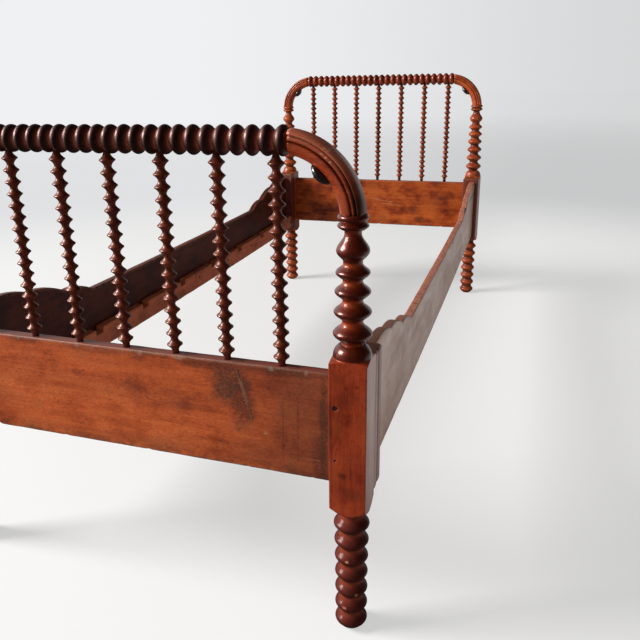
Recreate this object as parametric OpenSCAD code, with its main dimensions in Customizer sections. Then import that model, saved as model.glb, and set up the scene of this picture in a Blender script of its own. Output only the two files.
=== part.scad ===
// Spool-turned knock-down bed: two turned ends, two shaped side rails with
// ledgers for the slats, and iron bed hooks in the rail-end blocks.
// Lengths are in millimetres. The bed stands on z = 0 with its middle on the
// z axis, the foot end towards -y and the head end towards +y.

/* [Overall layout] */
// Distance between the post axes across the bed
bed_w = 756; // [700:2:900]
// Distance between the post axes along the bed
bed_l = 1873; // [1750:1:2100]
// Height of the foot end's top rail axis
foot_rail_z = 777.5; // [760:0.5:800]
// Height of the head end's top rail axis
head_rail_z = 835.5; // [815:0.5:860]

/* [Posts] */
// Width of the square block of a post
block_w = 57; // [54:1:64]
// Height of the block's lower corners
block_z0 = 234; // [225:1:240]
// Height of the block's upper corners
block_z1 = 470; // [465:1:480]
// Height of the cone that cuts each lower corner of the block
lower_cut_h = 12; // [6:0.5:16]
// Height of the cone that cuts each upper corner of the block
upper_cut_h = 5; // [3:0.5:8]
// How far those cones run out past the block's corners
cut_overrun = 0.5; // [0.2:0.1:2]
// Height of the domed shoulder on top of the block
dome_h = 19; // [14:0.5:22]
// Height of the eased shoulder under the block
leg_shoulder_h = 3; // [2:0.5:6]
// Length of the neck between that shoulder and the highest leg ring
leg_neck_l = 9; // [6:0.5:12]
// Number of rings on a leg
leg_rings = 7; // [5:1:8]
// Crest radius of the lowest leg ring
leg_crest_low = 25.9; // [22:0.1:27]
// Crest radius of the highest leg ring
leg_crest_high = 28; // [25:0.1:28.4]
// Exponent of the legs' taper: a higher one widens only the highest rings
leg_swell = 3; // [1:0.1:4]
// Neck radius between leg rings
leg_neck_r = 17.6; // [14:0.1:22]
// Radius of the flat under each leg
foot_r = 14; // [10:0.5:17]
// Number of rings above the block at the foot end
foot_post_rings = 4; // [3:1:5]
// Number of rings above the block at the head end
head_post_rings = 6; // [5:1:7]
// Crest radius of the lowest ring above the block
post_crest_low = 28.4; // [25:0.1:28.4]
// Crest radius of the highest ring above the block
post_crest_high = 24.4; // [20:0.1:26]
// Neck radius under the lowest ring above the block
post_neck_low = 15.1; // [12:0.1:20]
// Neck radius above the highest ring
post_neck_high = 13.8; // [11:0.1:16]
// How much taller the lower rings above the block are than the upper ones
ring_crowd = 0.16; // [0:0.01:0.3]
// Exponent of the posts' ring shape: a higher one gives a sharper crest
post_ring_shape = 2; // [1:0.1:3]
// Length of the straight groove between two rings
post_groove_l = 1; // [0.5:0.1:4]
// Height of the vase and collars at the top of a post
vase_zone_h = 68; // [64:0.5:72]
// Length of the straight neck below the vase
vase_foot_l = 3.3; // [1:0.1:5]
// Widest radius of the vase
vase_r = 23.4; // [20:0.1:26]
// Height of the vase's widest point over its foot
vase_low_h = 14.5; // [12:0.5:17]
// Exponent of the vase's lower curve: a lower one gives a fuller belly
vase_belly = 0.75; // [0.6:0.05:1.2]
// Height of the vase over its widest point
vase_high_h = 24; // [20:0.5:25]
// Radius of the neck over the vase
vase_neck_r = 11.9; // [10:0.1:15]
// Radius of the lower collar
collar_r = 21.9; // [20:0.1:25]
// How much narrower the upper collar is
collar_step = 0.6; // [0:0.1:1.5]
// Height of the lower collar
collar_low_h = 12; // [9:0.5:13]
// Height of the upper collar
collar_high_h = 9.5; // [7:0.5:11]
// Radius of the groove between the collars
collar_groove_r = 16; // [13:0.1:19]
// Radius of the dowel on top of a post
post_dowel_r = 8; // [6:0.5:9]
// Length of the dowel on top of a post
post_dowel_l = 24; // [15:1:28]

/* [Corner arches] */
// Radius of the arch's middle line
arch_r = 103; // [96:1:108]
// Height over the springing line at which the arch's foot is cut off
arch_foot_cut = 7; // [0:0.5:10]
// Half of the arch's thickness towards its centre
arch_half_t = 17.6; // [15:0.1:19]
// Half of the arch's width across the end of the bed
arch_half_w = 18; // [15:0.5:20]
// How far the raised bead lies outside the middle line
arch_bead_at = 5; // [0:0.5:6]
// Half width of the raised bead
arch_bead_w = 3.3; // [1.5:0.1:4]
// Height of the bead over the grooves beside it
arch_bead_h = 3; // [1:0.5:5]
// Depth of those grooves under the arch's widest point
arch_groove_d = 4; // [2:0.5:6]
// Width of the flat bottom of those grooves
arch_groove_w = 1.2; // [0.5:0.1:2]
// Rounding of the bands' edges beside those grooves
arch_edge_r = 1.6; // [1:0.1:3]
// Exponent of the section's outer side: a lower one gives a squarer side
arch_outer_shape = 0.8; // [0.5:0.05:1.2]
// Exponent of the section's inner side
arch_inner_shape = 1; // [0.5:0.05:1.2]
// How far the joint with the top rail lies before the arch's full quarter
arch_joint_inset = 16.5; // [12:0.5:20]

/* [Buttons] */
// Radius of the turned button under each arch
button_r = 18.5; // [13:0.5:20]
// Thickness of the button
button_h = 12; // [11:0.5:18]
// Radius of the flat in the middle of the button's face
button_flat_r = 3; // [1:0.5:5]
// Height of the button's domed face
button_dome_h = 4; // [2:0.5:5]
// Width of the rim round the domed face
button_rim_w = 5; // [3:0.5:7]
// Height of the small step between dome and rim
button_step = 0.8; // [0.4:0.1:1.5]
// Height of the button's rounded rim
button_rim_h = 8.5; // [7:0.5:10]
// Rounding of the button's back edge
button_back_cut = 2; // [1:0.5:3]
// Radius of the button's stem
button_stem_r = 5; // [3:0.5:6]
// Length of the button's stem
button_stem_l = 14; // [8:1:18]
// Depth of the flat seat cut for the button at the arch's inner side
button_seat_d = 1.5; // [1:0.5:4]

/* [Top rails] */
// Number of rings on a top rail
rail_rings = 26; // [22:2:30]
// Crest radius of the top rail's rings
rail_crest_r = 21.4; // [19:0.1:24]
// Neck radius of the top rail
rail_neck_r = 13.3; // [12:0.1:17]
// Exponent of the top rail's ring shape
rail_ring_shape = 1; // [0.5:0.1:2]
// Length of the straight groove between two rail rings
rail_groove_l = 1; // [0.5:0.1:4]
// Radius of the rail's end dowels
rail_dowel_r = 7; // [5:0.5:8]
// Length of the rail's end dowels
rail_dowel_l = 18; // [10:1:20]

/* [Spindles] */
// Number of spindles at each end of the bed
spindle_count = 7; // [7:2:7]
// Rail rings from one spindle to the next
rings_per_spindle = 4; // [3:1:4]
// Number of rings on a foot spindle
foot_spindle_rings = 16; // [12:1:20]
// Number of rings on a head spindle
head_spindle_rings = 19; // [14:1:23]
// Crest radius of the spindle rings
spindle_crest_r = 12.3; // [9:0.1:14]
// Neck radius between spindle rings
spindle_neck_r = 5.8; // [4.8:0.1:8]
// Length of the flat on each ring's crest
spindle_crest_l = 1.4; // [1:0.1:5]
// Length of the straight neck between spindle rings
spindle_groove_l = 1; // [0.5:0.1:4]
// Exponent of the hollow flanks of the spindle rings
spindle_flank_shape = 1.7; // [1:0.1:2.5]
// Radius of the round tenons on both spindle ends
spindle_tenon_r = 5; // [3:0.1:5.4]
// Length of the lower tenon
spindle_tenon_l = 15; // [10:1:25]
// Plain length above the board at the foot end
foot_spindle_foot_l = 4.7; // [3:0.1:12]
// Plain length above the board at the head end
head_spindle_foot_l = 12; // [6:0.5:20]
// Distance from the rail's axis to the top of the last ring
spindle_top_gap = 21.3; // [19:0.1:25]
// Depth of the rail's spindle holes above the rail's lowest point
spindle_socket_d = 18; // [10:1:20]

/* [End boards] */
// Thickness of an end board
board_t = 21; // [18:0.5:25]
// Height of a board's lower edge
board_z0 = 266.5; // [262:0.5:275]
// Height of a board's upper edge
board_z1 = 447.5; // [440:0.5:452]
// Thickness of a board's tenons
board_tenon_t = 11; // [8:0.5:14]
// Length of a board's tenons
board_tenon_l = 30; // [20:1:34]
// Shoulder above and below a board's tenons
board_tenon_shoulder = 10; // [5:1:20]
// Depth of the rounding on a board's long edges
board_round = 3; // [1:0.5:5]

/* [Pegs and nails] */
// Radius of the wooden pegs through the board joints
peg_r = 3.4; // [2.5:0.1:4.5]
// Length of a wooden peg
peg_l = 38; // [34:1:45]
// How far a peg's end lies under the post's face
peg_sunk = 1.2; // [0.5:0.1:3]
// Height of the pegs
peg_z = 402; // [380:1:425]
// Radius of the cut nails below the pegs
nail_r = 1.6; // [1:0.1:2.5]
// Height of the nails
nail_z = 316; // [290:1:340]
// Distance of pegs and nails from the block's inner edge
peg_inset = 10; // [8:0.5:16]
// Number of nails in each ledger
ledger_nails = 9; // [9:1:9]
// Radius of a ledger nail's head
ledger_nail_head_r = 3.6; // [2.5:0.1:6]
// Thickness of a ledger nail's head
ledger_nail_head_h = 1.2; // [0.6:0.1:2]
// Length of a ledger nail's shank
ledger_nail_l = 36; // [28:1:38]

/* [Side rails] */
// Thickness of a side rail
side_t = 20; // [16:1:24]
// Recess of the side rail behind the outer face of the end blocks
side_recess = 14.5; // [8:0.5:18]
// Height of the side rail's lower edge
side_z0 = 248; // [242:1:256]
// Height of the rail's low middle stretch
side_mid_z = 390; // [370:1:400]
// Height of the rail's raised ends
side_end_z = 460; // [450:1:468]
// Distance from the post axis to the start of the straight middle stretch
lobe_low_x = 434; // [420:1:460]
// Distance from the post axis to the lower cusp
lobe_mid_x = 333; // [310:1:350]
// Height of the lower cusp
lobe_mid_z = 414; // [405:1:420]
// Distance from the post axis to the upper cusp
lobe_high_x = 220; // [200:1:240]
// Height of the upper cusp
lobe_high_z = 443; // [435:1:448]
// Distance from the post axis to the level top of the rail's end
lobe_top_x = 132; // [110:1:150]
// Swell of each lobe over its chord
lobe_swell = 8; // [3:0.5:12]
// Length of a side rail's tenons
side_tenon_l = 28; // [18:1:34]
// Thickness of a side rail's tenons
side_tenon_t = 10; // [7:0.5:13]
// Shoulder above and below a side rail's tenons
side_tenon_shoulder = 22; // [14:1:40]

/* [Rail-end blocks] */
// Length of a rail-end block
end_l = 45; // [40:1:52]
// Height of an end block's lower face
end_z0 = 236; // [234:1:240]
// Height of an end block's upper face
end_z1 = 469; // [466:1:470]
// Depth of the grooves beside the reeds
reed_d = 2; // [1:0.1:4]
// Plain margin beside the outermost reeds
reed_margin = 1; // [0.5:0.5:3]
// Width of the groove between the two reeds
reed_gap = 3; // [2:0.5:6]
// Rounding of the end blocks' lower and upper outer edges
end_round = 5; // [2:0.5:8]

/* [Ledgers] */
// Width of a ledger
ledger_w = 22; // [18:1:28]
// Height of a ledger
ledger_h = 50; // [44:1:60]
// Number of slat notches in each ledger
notch_count = 8; // [8:1:8]
// Width of a slat notch
notch_w = 28; // [20:1:50]
// Depth of a slat notch
notch_d = 14; // [10:1:24]
// Distance from the post axis to the first notch
notch_first_x = 198; // [150:1:230]

/* [Bed hooks] */
// Thickness of the iron plates
plate_t = 3; // [2:0.5:4]
// Width of the iron plates
plate_w = 24; // [20:1:30]
// Height of the plates' lower end
plate_z0 = 296; // [290:1:310]
// Length of the plates
plate_l = 124; // [110:1:130]
// Thickness of a hook
hook_t = 4; // [3:0.5:5]
// Height of a hook's neck
hook_neck_h = 15; // [12:1:18]
// Drop of a hook's lip behind the catch plate
hook_drop = 11; // [8:1:14]
// Spacing of the two hooks on a plate
hook_pitch = 56; // [52:1:60]
// Rounding of a hook's upper corner
hook_round = 1.5; // [0.5:0.5:3]
// Height of a slot in the catch plate
slot_h = 30; // [28:1:34]
// Radius of a screw's shank
screw_r = 2; // [1.5:0.1:2.5]
// Radius of a screw's head
screw_head_r = 4; // [3:0.1:5]
// Length of a screw
screw_l = 20; // [14:1:24]
// Wood left between the hook plates' screws and the side rails' tenons
screw_rest = 3; // [2:0.5:6]
// Distance of the screws from the plates' ends
screw_inset = 9; // [7:0.5:12]

/* [Clearances] */
// Gap round a dowel or round tenon
dowel_gap = 0.3; // [0.2:0.05:0.5]
// Gap round a square tenon or an inlaid plate
tenon_gap = 0.3; // [0.2:0.05:0.8]
// Gap on each side of a hook in its slot
slot_gap = 1; // [0.5:0.1:2]
// Gap beyond the end of a tenon or dowel
end_gap = 1; // [0.5:0.1:2]

/* [Hidden] */

$fn = 64;
ring_steps = 10;
arc_steps = 8;
flank_steps = 3;
eps = 0.01;
far = 400;
even = 1;
button_seam = 20;

half_block = block_w / 2;
block_corner_r = half_block * sqrt(2) + cut_overrun;
foot_seat_z = foot_rail_z - arch_r + arch_foot_cut;
head_seat_z = head_rail_z - arch_r + arch_foot_cut;
leg_neck_z = block_z0 - lower_cut_h - leg_shoulder_h;
leg_top_z = leg_neck_z - leg_neck_l;
post_neck_z = block_z1 + upper_cut_h + dome_h;
arch_joint_x = arch_r - arch_joint_inset;
rail_half_l = bed_w / 2 - arch_joint_x;
button_seat_r = arch_r - arch_half_t + button_seat_d;
rail_pitch = 2 * rail_half_l / rail_rings;
spindle_pitch = rings_per_spindle * rail_pitch;
board_half_l = bed_w / 2 - half_block;
spindle_hole_r = spindle_tenon_r + dowel_gap;
spindle_top_z = spindle_socket_d - rail_neck_r - end_gap;
side_x1 = bed_w / 2 + half_block - side_recess;
side_x0 = side_x1 - side_t;
side_half_l = bed_l / 2 - half_block - end_l;
ledger_z0 = side_z0;
notch_pitch = (bed_l - 2 * notch_first_x) / (notch_count - 1);
nail_pitch = notch_pitch;
hook_mid_z = plate_z0 + plate_l / 2;

wood = "#6b2a16";
wood_board = "#8f4a24";
wood_dark = "#4a1f14";
black_button = "#17110f";
iron = "#3a3836";

// ---- profiles -------------------------------------------------------------

// One turned ring as [radius, height] points, from neck over crest to neck
function ring(mid, half, neck_r, crest_r, shape) = [
    for (i = [0:ring_steps])
        let (t = 2 * i / ring_steps - 1)
            [neck_r + (crest_r - neck_r) * pow(cos(90 * t), shape), mid + half * t]
];

// Share of a ring row's height under its k-th groove; crowd makes the lower
// rings taller
function row_share(k, n, crowd) = let (u = k / n) u + crowd * u * (1 - u);

// A row of rings between two heights, with crests and necks that taper
function ring_row(z0, z1, n, groove, neck_a, neck_b, crest_a, crest_b, taper, shape, crowd) = [
    for (k = [0:n - 1])
        let (low = z0 + (z1 - z0) * row_share(k, n, crowd))
        let (high = z0 + (z1 - z0) * row_share(k + 1, n, crowd))
        let (u = pow(k / (n - 1), taper))
            each ring((low + high) / 2, (high - low - groove) / 2,
                neck_a + (neck_b - neck_a) * u, crest_a + (crest_b - crest_a) * u, shape)
];

// Quarter round from an inner radius out to a wider one
function quarter_round(r0, z0, r1, z1) = [
    for (i = [0:arc_steps])
        let (a = 90 * i / arc_steps)
            [r0 + (r1 - r0) * sin(a), z0 + (z1 - z0) * (1 - cos(a))]
];

// Dome from a wide radius in to a narrower one
function dome(r0, z0, r1, z1) = [
    for (i = [0:arc_steps])
        let (a = 90 * i / arc_steps)
            [r1 + (r0 - r1) * cos(a), z0 + (z1 - z0) * sin(a)]
];

// S curve between two radii, level at both ends; a belly below 1 makes it
// swing out sooner
function cyma(r0, z0, r1, z1, belly) = [
    for (i = [0:arc_steps])
        let (u = i / arc_steps)
            [r1 + (r0 - r1) * (0.5 + 0.5 * cos(180 * pow(u, belly))), z0 + (z1 - z0) * u]
];

// Curve over a chord that swells out by a given height
function swelled(a, b, swell) =
    let (d = b - a)
    let (n = [-d.y, d.x] / norm(d))
    [for (i = [0:arc_steps]) let (u = i / arc_steps) a + d * u + n * 4 * swell * u * (1 - u)];

// ---- shared solids --------------------------------------------------------

// A box given by its two opposite corners
module box(low, high) {
    translate(low)
        cube(high - low);
}

// A cylinder along +y from a given start
module rod_y(x, y, z, r, l) {
    translate([x, y, z])
        rotate([-90, 0, 0])
            cylinder(r = r, h = l);
}

// Puts a piece drawn for the left foot corner at one of the four corners.
// In that frame the post axis is at the origin, +x points to the middle of
// the bed's width and +y to the middle of its length.
module corner(side, end) {
    translate([side * bed_w / 2, end * bed_l / 2, 0])
        mirror([side > 0 ? 1 : 0, 0, 0])
            mirror([0, end > 0 ? 1 : 0, 0])
                children();
}

// ---- posts ----------------------------------------------------------------

function leg_profile() = concat(
    [[0, 0], [foot_r, 0]],
    ring_row(0, leg_top_z, leg_rings, post_groove_l,
        leg_neck_r, leg_neck_r, leg_crest_low, leg_crest_high, leg_swell, post_ring_shape, 0)
);

function block_profile() = concat(
    quarter_round(leg_neck_r, leg_neck_z, half_block, leg_neck_z + leg_shoulder_h),
    [[block_corner_r, block_z0], [block_corner_r, block_z1]],
    dome(half_block, post_neck_z - dome_h, post_neck_low, post_neck_z)
);

function vase_profile(seat_z) =
    let (low_z = seat_z - vase_zone_h + vase_foot_l)
    let (wide_z = low_z + vase_low_h)
    let (groove_z = seat_z - collar_high_h)
    let (top_r = collar_r - collar_step)
    concat(
        cyma(post_neck_high, low_z, vase_r, wide_z, vase_belly),
        cyma(vase_r, wide_z, vase_neck_r, wide_z + vase_high_h, even),
        [[vase_neck_r, groove_z - collar_low_h]],
        ring(groove_z - collar_low_h / 2, (collar_low_h - post_groove_l) / 2, collar_groove_r, collar_r, even),
        quarter_round(collar_groove_r, groove_z, top_r, groove_z + collar_high_h / 2),
        [[top_r, groove_z + collar_high_h * 3 / 4], [top_r - collar_high_h / 4, seat_z]]
    );

function post_profile(seat_z, rings) = concat(
    leg_profile(),
    block_profile(),
    ring_row(post_neck_z, seat_z - vase_zone_h, rings, post_groove_l,
        post_neck_low, post_neck_high, post_crest_low, post_crest_high, even, post_ring_shape, ring_crowd),
    vase_profile(seat_z),
    [[post_dowel_r, seat_z], [post_dowel_r, seat_z + post_dowel_l], [0, seat_z + post_dowel_l]]
);

// Mortise that takes a board's tenon
module board_mortise() {
    half_t = board_tenon_t / 2 + tenon_gap;
    box([half_block - board_tenon_l - end_gap, -half_t, board_z0 + board_tenon_shoulder - tenon_gap],
        [half_block + eps, half_t, board_z1 - board_tenon_shoulder + tenon_gap]);
}

// Recess for the catch plate, with the hollows behind its two slots
module catch_recess() {
    half_w = plate_w / 2 + tenon_gap;
    lip_y = half_block - plate_t - 2 * tenon_gap - hook_t - end_gap;
    box([-half_w, half_block - plate_t, plate_z0 - tenon_gap],
        [half_w, half_block + eps, plate_z0 + plate_l + tenon_gap]);
    for (z = hook_heights())
        box([-hook_t / 2 - slot_gap, lip_y, z - hook_drop - end_gap],
            [hook_t / 2 + slot_gap, half_block - plate_t + eps, z + slot_h]);
    for (z = screw_heights())
        rod_y(0, half_block - plate_t - screw_l - end_gap, z, screw_r + dowel_gap, screw_l + plate_t);
}

module post(side, end, seat_z, rings) {
    color(wood)
        corner(side, end)
            difference() {
                intersection() {
                    rotate_extrude()
                        polygon(post_profile(seat_z, rings));
                    box([-half_block, -half_block, 0],
                        [half_block, half_block, seat_z + post_dowel_l]);
                }
                board_mortise();
                catch_recess();
                rod_y(half_block - peg_inset, -half_block - eps, peg_z,
                    peg_r + dowel_gap, peg_l + peg_sunk + end_gap);
                rod_y(half_block - peg_inset, -half_block - eps, nail_z,
                    nail_r + dowel_gap, peg_l + peg_sunk + end_gap);
            }
}

// ---- corner arches and buttons --------------------------------------------

// Near half of the arch's section, from its outer side to its inner side: a
// rounded band, a groove, the bead, a groove and a broader rounded band
function arch_half_section() =
    let (low_w = arch_half_w - arch_groove_d)
    let (outer_top = arch_bead_at + arch_bead_w + arch_groove_w + arch_edge_r)
    let (inner_top = arch_bead_at - arch_bead_w - arch_groove_w - arch_edge_r)
    let (outer = [for (i = [1:arc_steps]) let (a = 90 * i / arc_steps)
        [outer_top + (arch_half_t - outer_top) * cos(a), arch_half_w * pow(sin(a), arch_outer_shape)]])
    let (outer_lip = [for (i = [1:arc_steps / 2]) let (a = 90 + 180 * i / arc_steps)
        [outer_top + arch_edge_r * cos(a), low_w + arch_groove_d * sin(a)]])
    let (bead = [for (i = [0:arc_steps]) let (a = 180 * i / arc_steps)
        [arch_bead_at + arch_bead_w * cos(a), low_w + arch_bead_h * sin(a)]])
    let (inner_lip = [for (i = [arc_steps / 2:-1:1]) let (a = 90 + 180 * i / arc_steps)
        [inner_top - arch_edge_r * cos(a), low_w + arch_groove_d * sin(a)]])
    let (inner = [for (i = [arc_steps:-1:1]) let (a = 90 * i / arc_steps)
        [inner_top - (arch_half_t + inner_top) * cos(a), arch_half_w * pow(sin(a), arch_inner_shape)]])
    concat(outer, outer_lip, bead, inner_lip, inner);

function arch_section() =
    let (half = arch_half_section())
    concat(half, [for (i = [len(half) - 1:-1:0]) [half[i].x, -half[i].y]]);

// Frame of the button: at the arch's centre, +z towards the middle of the arc
module button_axis(seat_z) {
    translate([arch_r, 0, seat_z - arch_foot_cut])
        rotate([0, -45, 0])
            rotate(button_seam)
                children();
}

module arch(side, end, seat_z) {
    color(wood)
        corner(side, end)
            difference() {
                translate([arch_r, 0, seat_z - arch_foot_cut])
                    mirror([1, 0, 0])
                        rotate([90, 0, 0])
                            rotate_extrude(angle = 90)
                                translate([arch_r, 0])
                                    polygon(arch_section());
                box([-far, -far, seat_z - far], [far, far, seat_z]);
                box([arch_joint_x, -far, seat_z], [arch_joint_x + far, far, seat_z + far]);
                translate([0, 0, seat_z - eps])
                    cylinder(r = post_dowel_r + dowel_gap, h = post_dowel_l + end_gap + eps);
                translate([arch_joint_x + eps, 0, seat_z - arch_foot_cut + arch_r])
                    rotate([0, -90, 0])
                        cylinder(r = rail_dowel_r + dowel_gap, h = rail_dowel_l + end_gap + eps);
                button_axis(seat_z) {
                    translate([0, 0, button_seat_r - button_h])
                        cylinder(r = button_r + dowel_gap, h = button_h);
                    translate([0, 0, button_seat_r - eps])
                        cylinder(r = button_stem_r + dowel_gap, h = button_stem_l + end_gap + eps);
                }
            }
}

// Button profile from its front dome back to the stem
function button_profile() = concat(
    [[0, 0]],
    quarter_round(button_flat_r, 0, button_r - button_rim_w, button_dome_h),
    quarter_round(button_r - button_rim_w + button_step, button_dome_h + button_step, button_r, button_rim_h),
    [[button_r, button_h - button_back_cut], [button_r - button_back_cut, button_h], [button_stem_r, button_h],
        [button_stem_r, button_h + button_stem_l], [0, button_h + button_stem_l]]
);

module button(side, end, seat_z) {
    color(black_button)
        corner(side, end)
            button_axis(seat_z)
                translate([0, 0, button_seat_r - button_h])
                    rotate_extrude()
                        polygon(button_profile());
}

// ---- top rails ------------------------------------------------------------

function rail_profile() = concat(
    [[0, -rail_half_l - rail_dowel_l], [rail_dowel_r, -rail_half_l - rail_dowel_l],
        [rail_dowel_r, -rail_half_l], [rail_neck_r, -rail_half_l]],
    ring_row(-rail_half_l, rail_half_l, rail_rings, rail_groove_l,
        rail_neck_r, rail_neck_r, rail_crest_r, rail_crest_r, even, rail_ring_shape, 0),
    [[rail_neck_r, rail_half_l], [rail_dowel_r, rail_half_l],
        [rail_dowel_r, rail_half_l + rail_dowel_l], [0, rail_half_l + rail_dowel_l]]
);

function spindle_x(i) = (i - (spindle_count + 1) / 2) * spindle_pitch;

module top_rail(end, rail_z) {
    color(wood_dark)
        translate([0, end * bed_l / 2, rail_z])
            difference() {
                rotate([0, 90, 0])
                    rotate_extrude()
                        polygon(rail_profile());
                for (i = [1:spindle_count])
                    translate([spindle_x(i), 0, -rail_crest_r - end_gap])
                        cylinder(r = spindle_hole_r, h = rail_crest_r + spindle_top_z + 2 * end_gap);
            }
}

// ---- spindles -------------------------------------------------------------

// One sharp spindle ring with hollow flanks, from neck to neck
function sharp_ring(mid, pitch) =
    let (flank_l = (pitch - spindle_groove_l - spindle_crest_l) / 2)
    let (flank = [for (i = [0:flank_steps]) let (u = i / flank_steps)
        [spindle_neck_r + (spindle_crest_r - spindle_neck_r) * pow(u, spindle_flank_shape),
            spindle_crest_l / 2 + flank_l * (1 - u)]])
    concat(
        [for (p = flank) [p.x, mid - p.y]],
        [for (i = [flank_steps:-1:0]) [flank[i].x, mid + flank[i].y]]
    );

function spindle_profile(rail_z, rings, foot_l) =
    let (z0 = board_z1 + foot_l)
    let (z1 = rail_z - spindle_top_gap)
    let (pitch = (z1 - z0) / rings)
    let (tip_z = rail_z + spindle_top_z)
    concat(
        [[0, board_z1 - spindle_tenon_l], [spindle_tenon_r, board_z1 - spindle_tenon_l],
            [spindle_tenon_r, board_z1], [spindle_neck_r, board_z1]],
        [for (k = [0:rings - 1]) each sharp_ring(z0 + pitch * (k + 0.5), pitch)],
        [[spindle_tenon_r, z1], [spindle_tenon_r, tip_z], [0, tip_z]]
    );

module spindle(i, end, rail_z, rings, foot_l) {
    color(wood_dark)
        translate([spindle_x(i), end * bed_l / 2, 0])
            rotate_extrude()
                polygon(spindle_profile(rail_z, rings, foot_l));
}

// ---- end boards -----------------------------------------------------------

// Section of a board across its thickness, with its long edges eased
function board_section() =
    let (ht = board_t / 2)
    let (arc = [for (i = [0:arc_steps / 2]) let (a = 180 * i / arc_steps)
        [ht - board_round + board_round * cos(a), board_round * (sin(a) - 1)]])
    concat(
        [for (p = arc) [p.x, board_z1 + p.y]],
        [for (i = [len(arc) - 1:-1:0]) [-arc[i].x, board_z1 + arc[i].y]],
        [for (p = arc) [-p.x, board_z0 - p.y]],
        [for (i = [len(arc) - 1:-1:0]) [arc[i].x, board_z0 - arc[i].y]]
    );

module board(end) {
    tenon_x = board_half_l + board_tenon_l;
    color(wood_board)
        translate([0, end * bed_l / 2, 0])
            difference() {
                union() {
                    translate([-board_half_l, 0, 0])
                        rotate([90, 0, 90])
                            linear_extrude(2 * board_half_l)
                                polygon(board_section());
                    box([-tenon_x, -board_tenon_t / 2, board_z0 + board_tenon_shoulder],
                        [tenon_x, board_tenon_t / 2, board_z1 - board_tenon_shoulder]);
                }
                for (i = [1:spindle_count])
                    translate([spindle_x(i), 0, board_z1 - spindle_tenon_l - end_gap])
                        cylinder(r = spindle_hole_r, h = spindle_tenon_l + end_gap + eps);
                for (side = [-1, 1])
                    for (hole = [[peg_z, peg_r], [nail_z, nail_r]])
                        rod_y(side * (board_half_l + peg_inset), -board_t, hole[0],
                            hole[1] + dowel_gap, 2 * board_t);
            }
}

// ---- pegs and nails of the board joints -----------------------------------

// A piece driven in from the outer face of each post, through the tenon
module driven(z, r) {
    for (side = [-1, 1])
        for (end = [-1, 1])
            corner(side, end)
                rod_y(half_block - peg_inset, -half_block + peg_sunk, z, r, peg_l);
}

module board_pegs() {
    color(wood)
        driven(peg_z, peg_r);
}

module board_nails() {
    color(iron)
        driven(nail_z, nail_r);
}

// ---- side rails -----------------------------------------------------------

// Top edge of one rail end, from the end block to the straight stretch, as
// [distance from the post axis, height]
function lobe_edge() = concat(
    [[half_block + end_l, side_end_z]],
    swelled([lobe_top_x, side_end_z], [lobe_high_x, lobe_high_z], lobe_swell / 2),
    swelled([lobe_high_x, lobe_high_z], [lobe_mid_x, lobe_mid_z], lobe_swell),
    swelled([lobe_mid_x, lobe_mid_z], [lobe_low_x, side_mid_z], lobe_swell)
);

function side_outline() =
    let (edge = [for (p = lobe_edge()) [p.x - bed_l / 2, p.y]])
    concat(
        [[-side_half_l, side_z0]],
        edge,
        [for (i = [len(edge) - 1:-1:0]) [-edge[i].x, edge[i].y]],
        [[side_half_l, side_z0]]
    );

// A plank outline in the y-z plane, given thickness from x0 to x1
module plank(x0, x1) {
    translate([x0, 0, 0])
        rotate([90, 0, 90])
            linear_extrude(x1 - x0)
                children();
}

// Tenons at both ends of a side rail, rooted a tenon's length deep in it
module side_tenons() {
    mid_x = (side_x0 + side_x1) / 2;
    for (m = [0, 1])
        mirror([0, m, 0])
            box([mid_x - side_tenon_t / 2, side_half_l - side_tenon_l, side_z0 + side_tenon_shoulder],
                [mid_x + side_tenon_t / 2, side_half_l + side_tenon_l, side_end_z - side_tenon_shoulder]);
}

module side_rail(side) {
    color(wood)
        mirror([side > 0 ? 0 : 1, 0, 0])
            difference() {
                union() {
                    plank(side_x0, side_x1)
                        polygon(side_outline());
                    side_tenons();
                }
                ledger_nail_holes();
            }
}

// ---- rail-end blocks ------------------------------------------------------

// Plan of an end block in the corner frame: its outer side carries two reeds
function end_block_plan() =
    let (reed_l = (end_l - 2 * reed_margin - reed_gap) / 2)
    let (reed_y = [half_block + reed_margin, half_block + reed_margin + reed_l + reed_gap])
    concat(
        [[half_block, half_block + end_l], [half_block, half_block]],
        [for (y = reed_y) for (i = [0:arc_steps]) let (a = 180 * i / arc_steps)
            [-half_block + reed_d * (1 - sin(a)), y + reed_l * (0.5 - 0.5 * cos(a))]],
        [[-half_block + reed_d, half_block + end_l]]
    );

// Side view of an end block across the bed: its outer edges are eased
function end_block_front() = concat(
    [[half_block, end_z0]],
    [for (i = [0:arc_steps]) let (a = 90 * i / arc_steps)
        [-half_block + end_round * (1 - sin(a)), end_z0 + end_round * (1 - cos(a))]],
    [for (i = [arc_steps:-1:0]) let (a = 90 * i / arc_steps)
        [-half_block + end_round * (1 - sin(a)), end_z1 - end_round * (1 - cos(a))]],
    [[half_block, end_z1]]
);

// Mortise that takes a side rail's tenon
module side_mortise() {
    mid_x = -half_block + side_recess + side_t / 2;
    half_t = side_tenon_t / 2 + tenon_gap;
    box([mid_x - half_t, half_block + end_l - side_tenon_l - end_gap,
            side_z0 + side_tenon_shoulder - tenon_gap],
        [mid_x + half_t, half_block + end_l + eps, side_end_z - side_tenon_shoulder + tenon_gap]);
}

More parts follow.
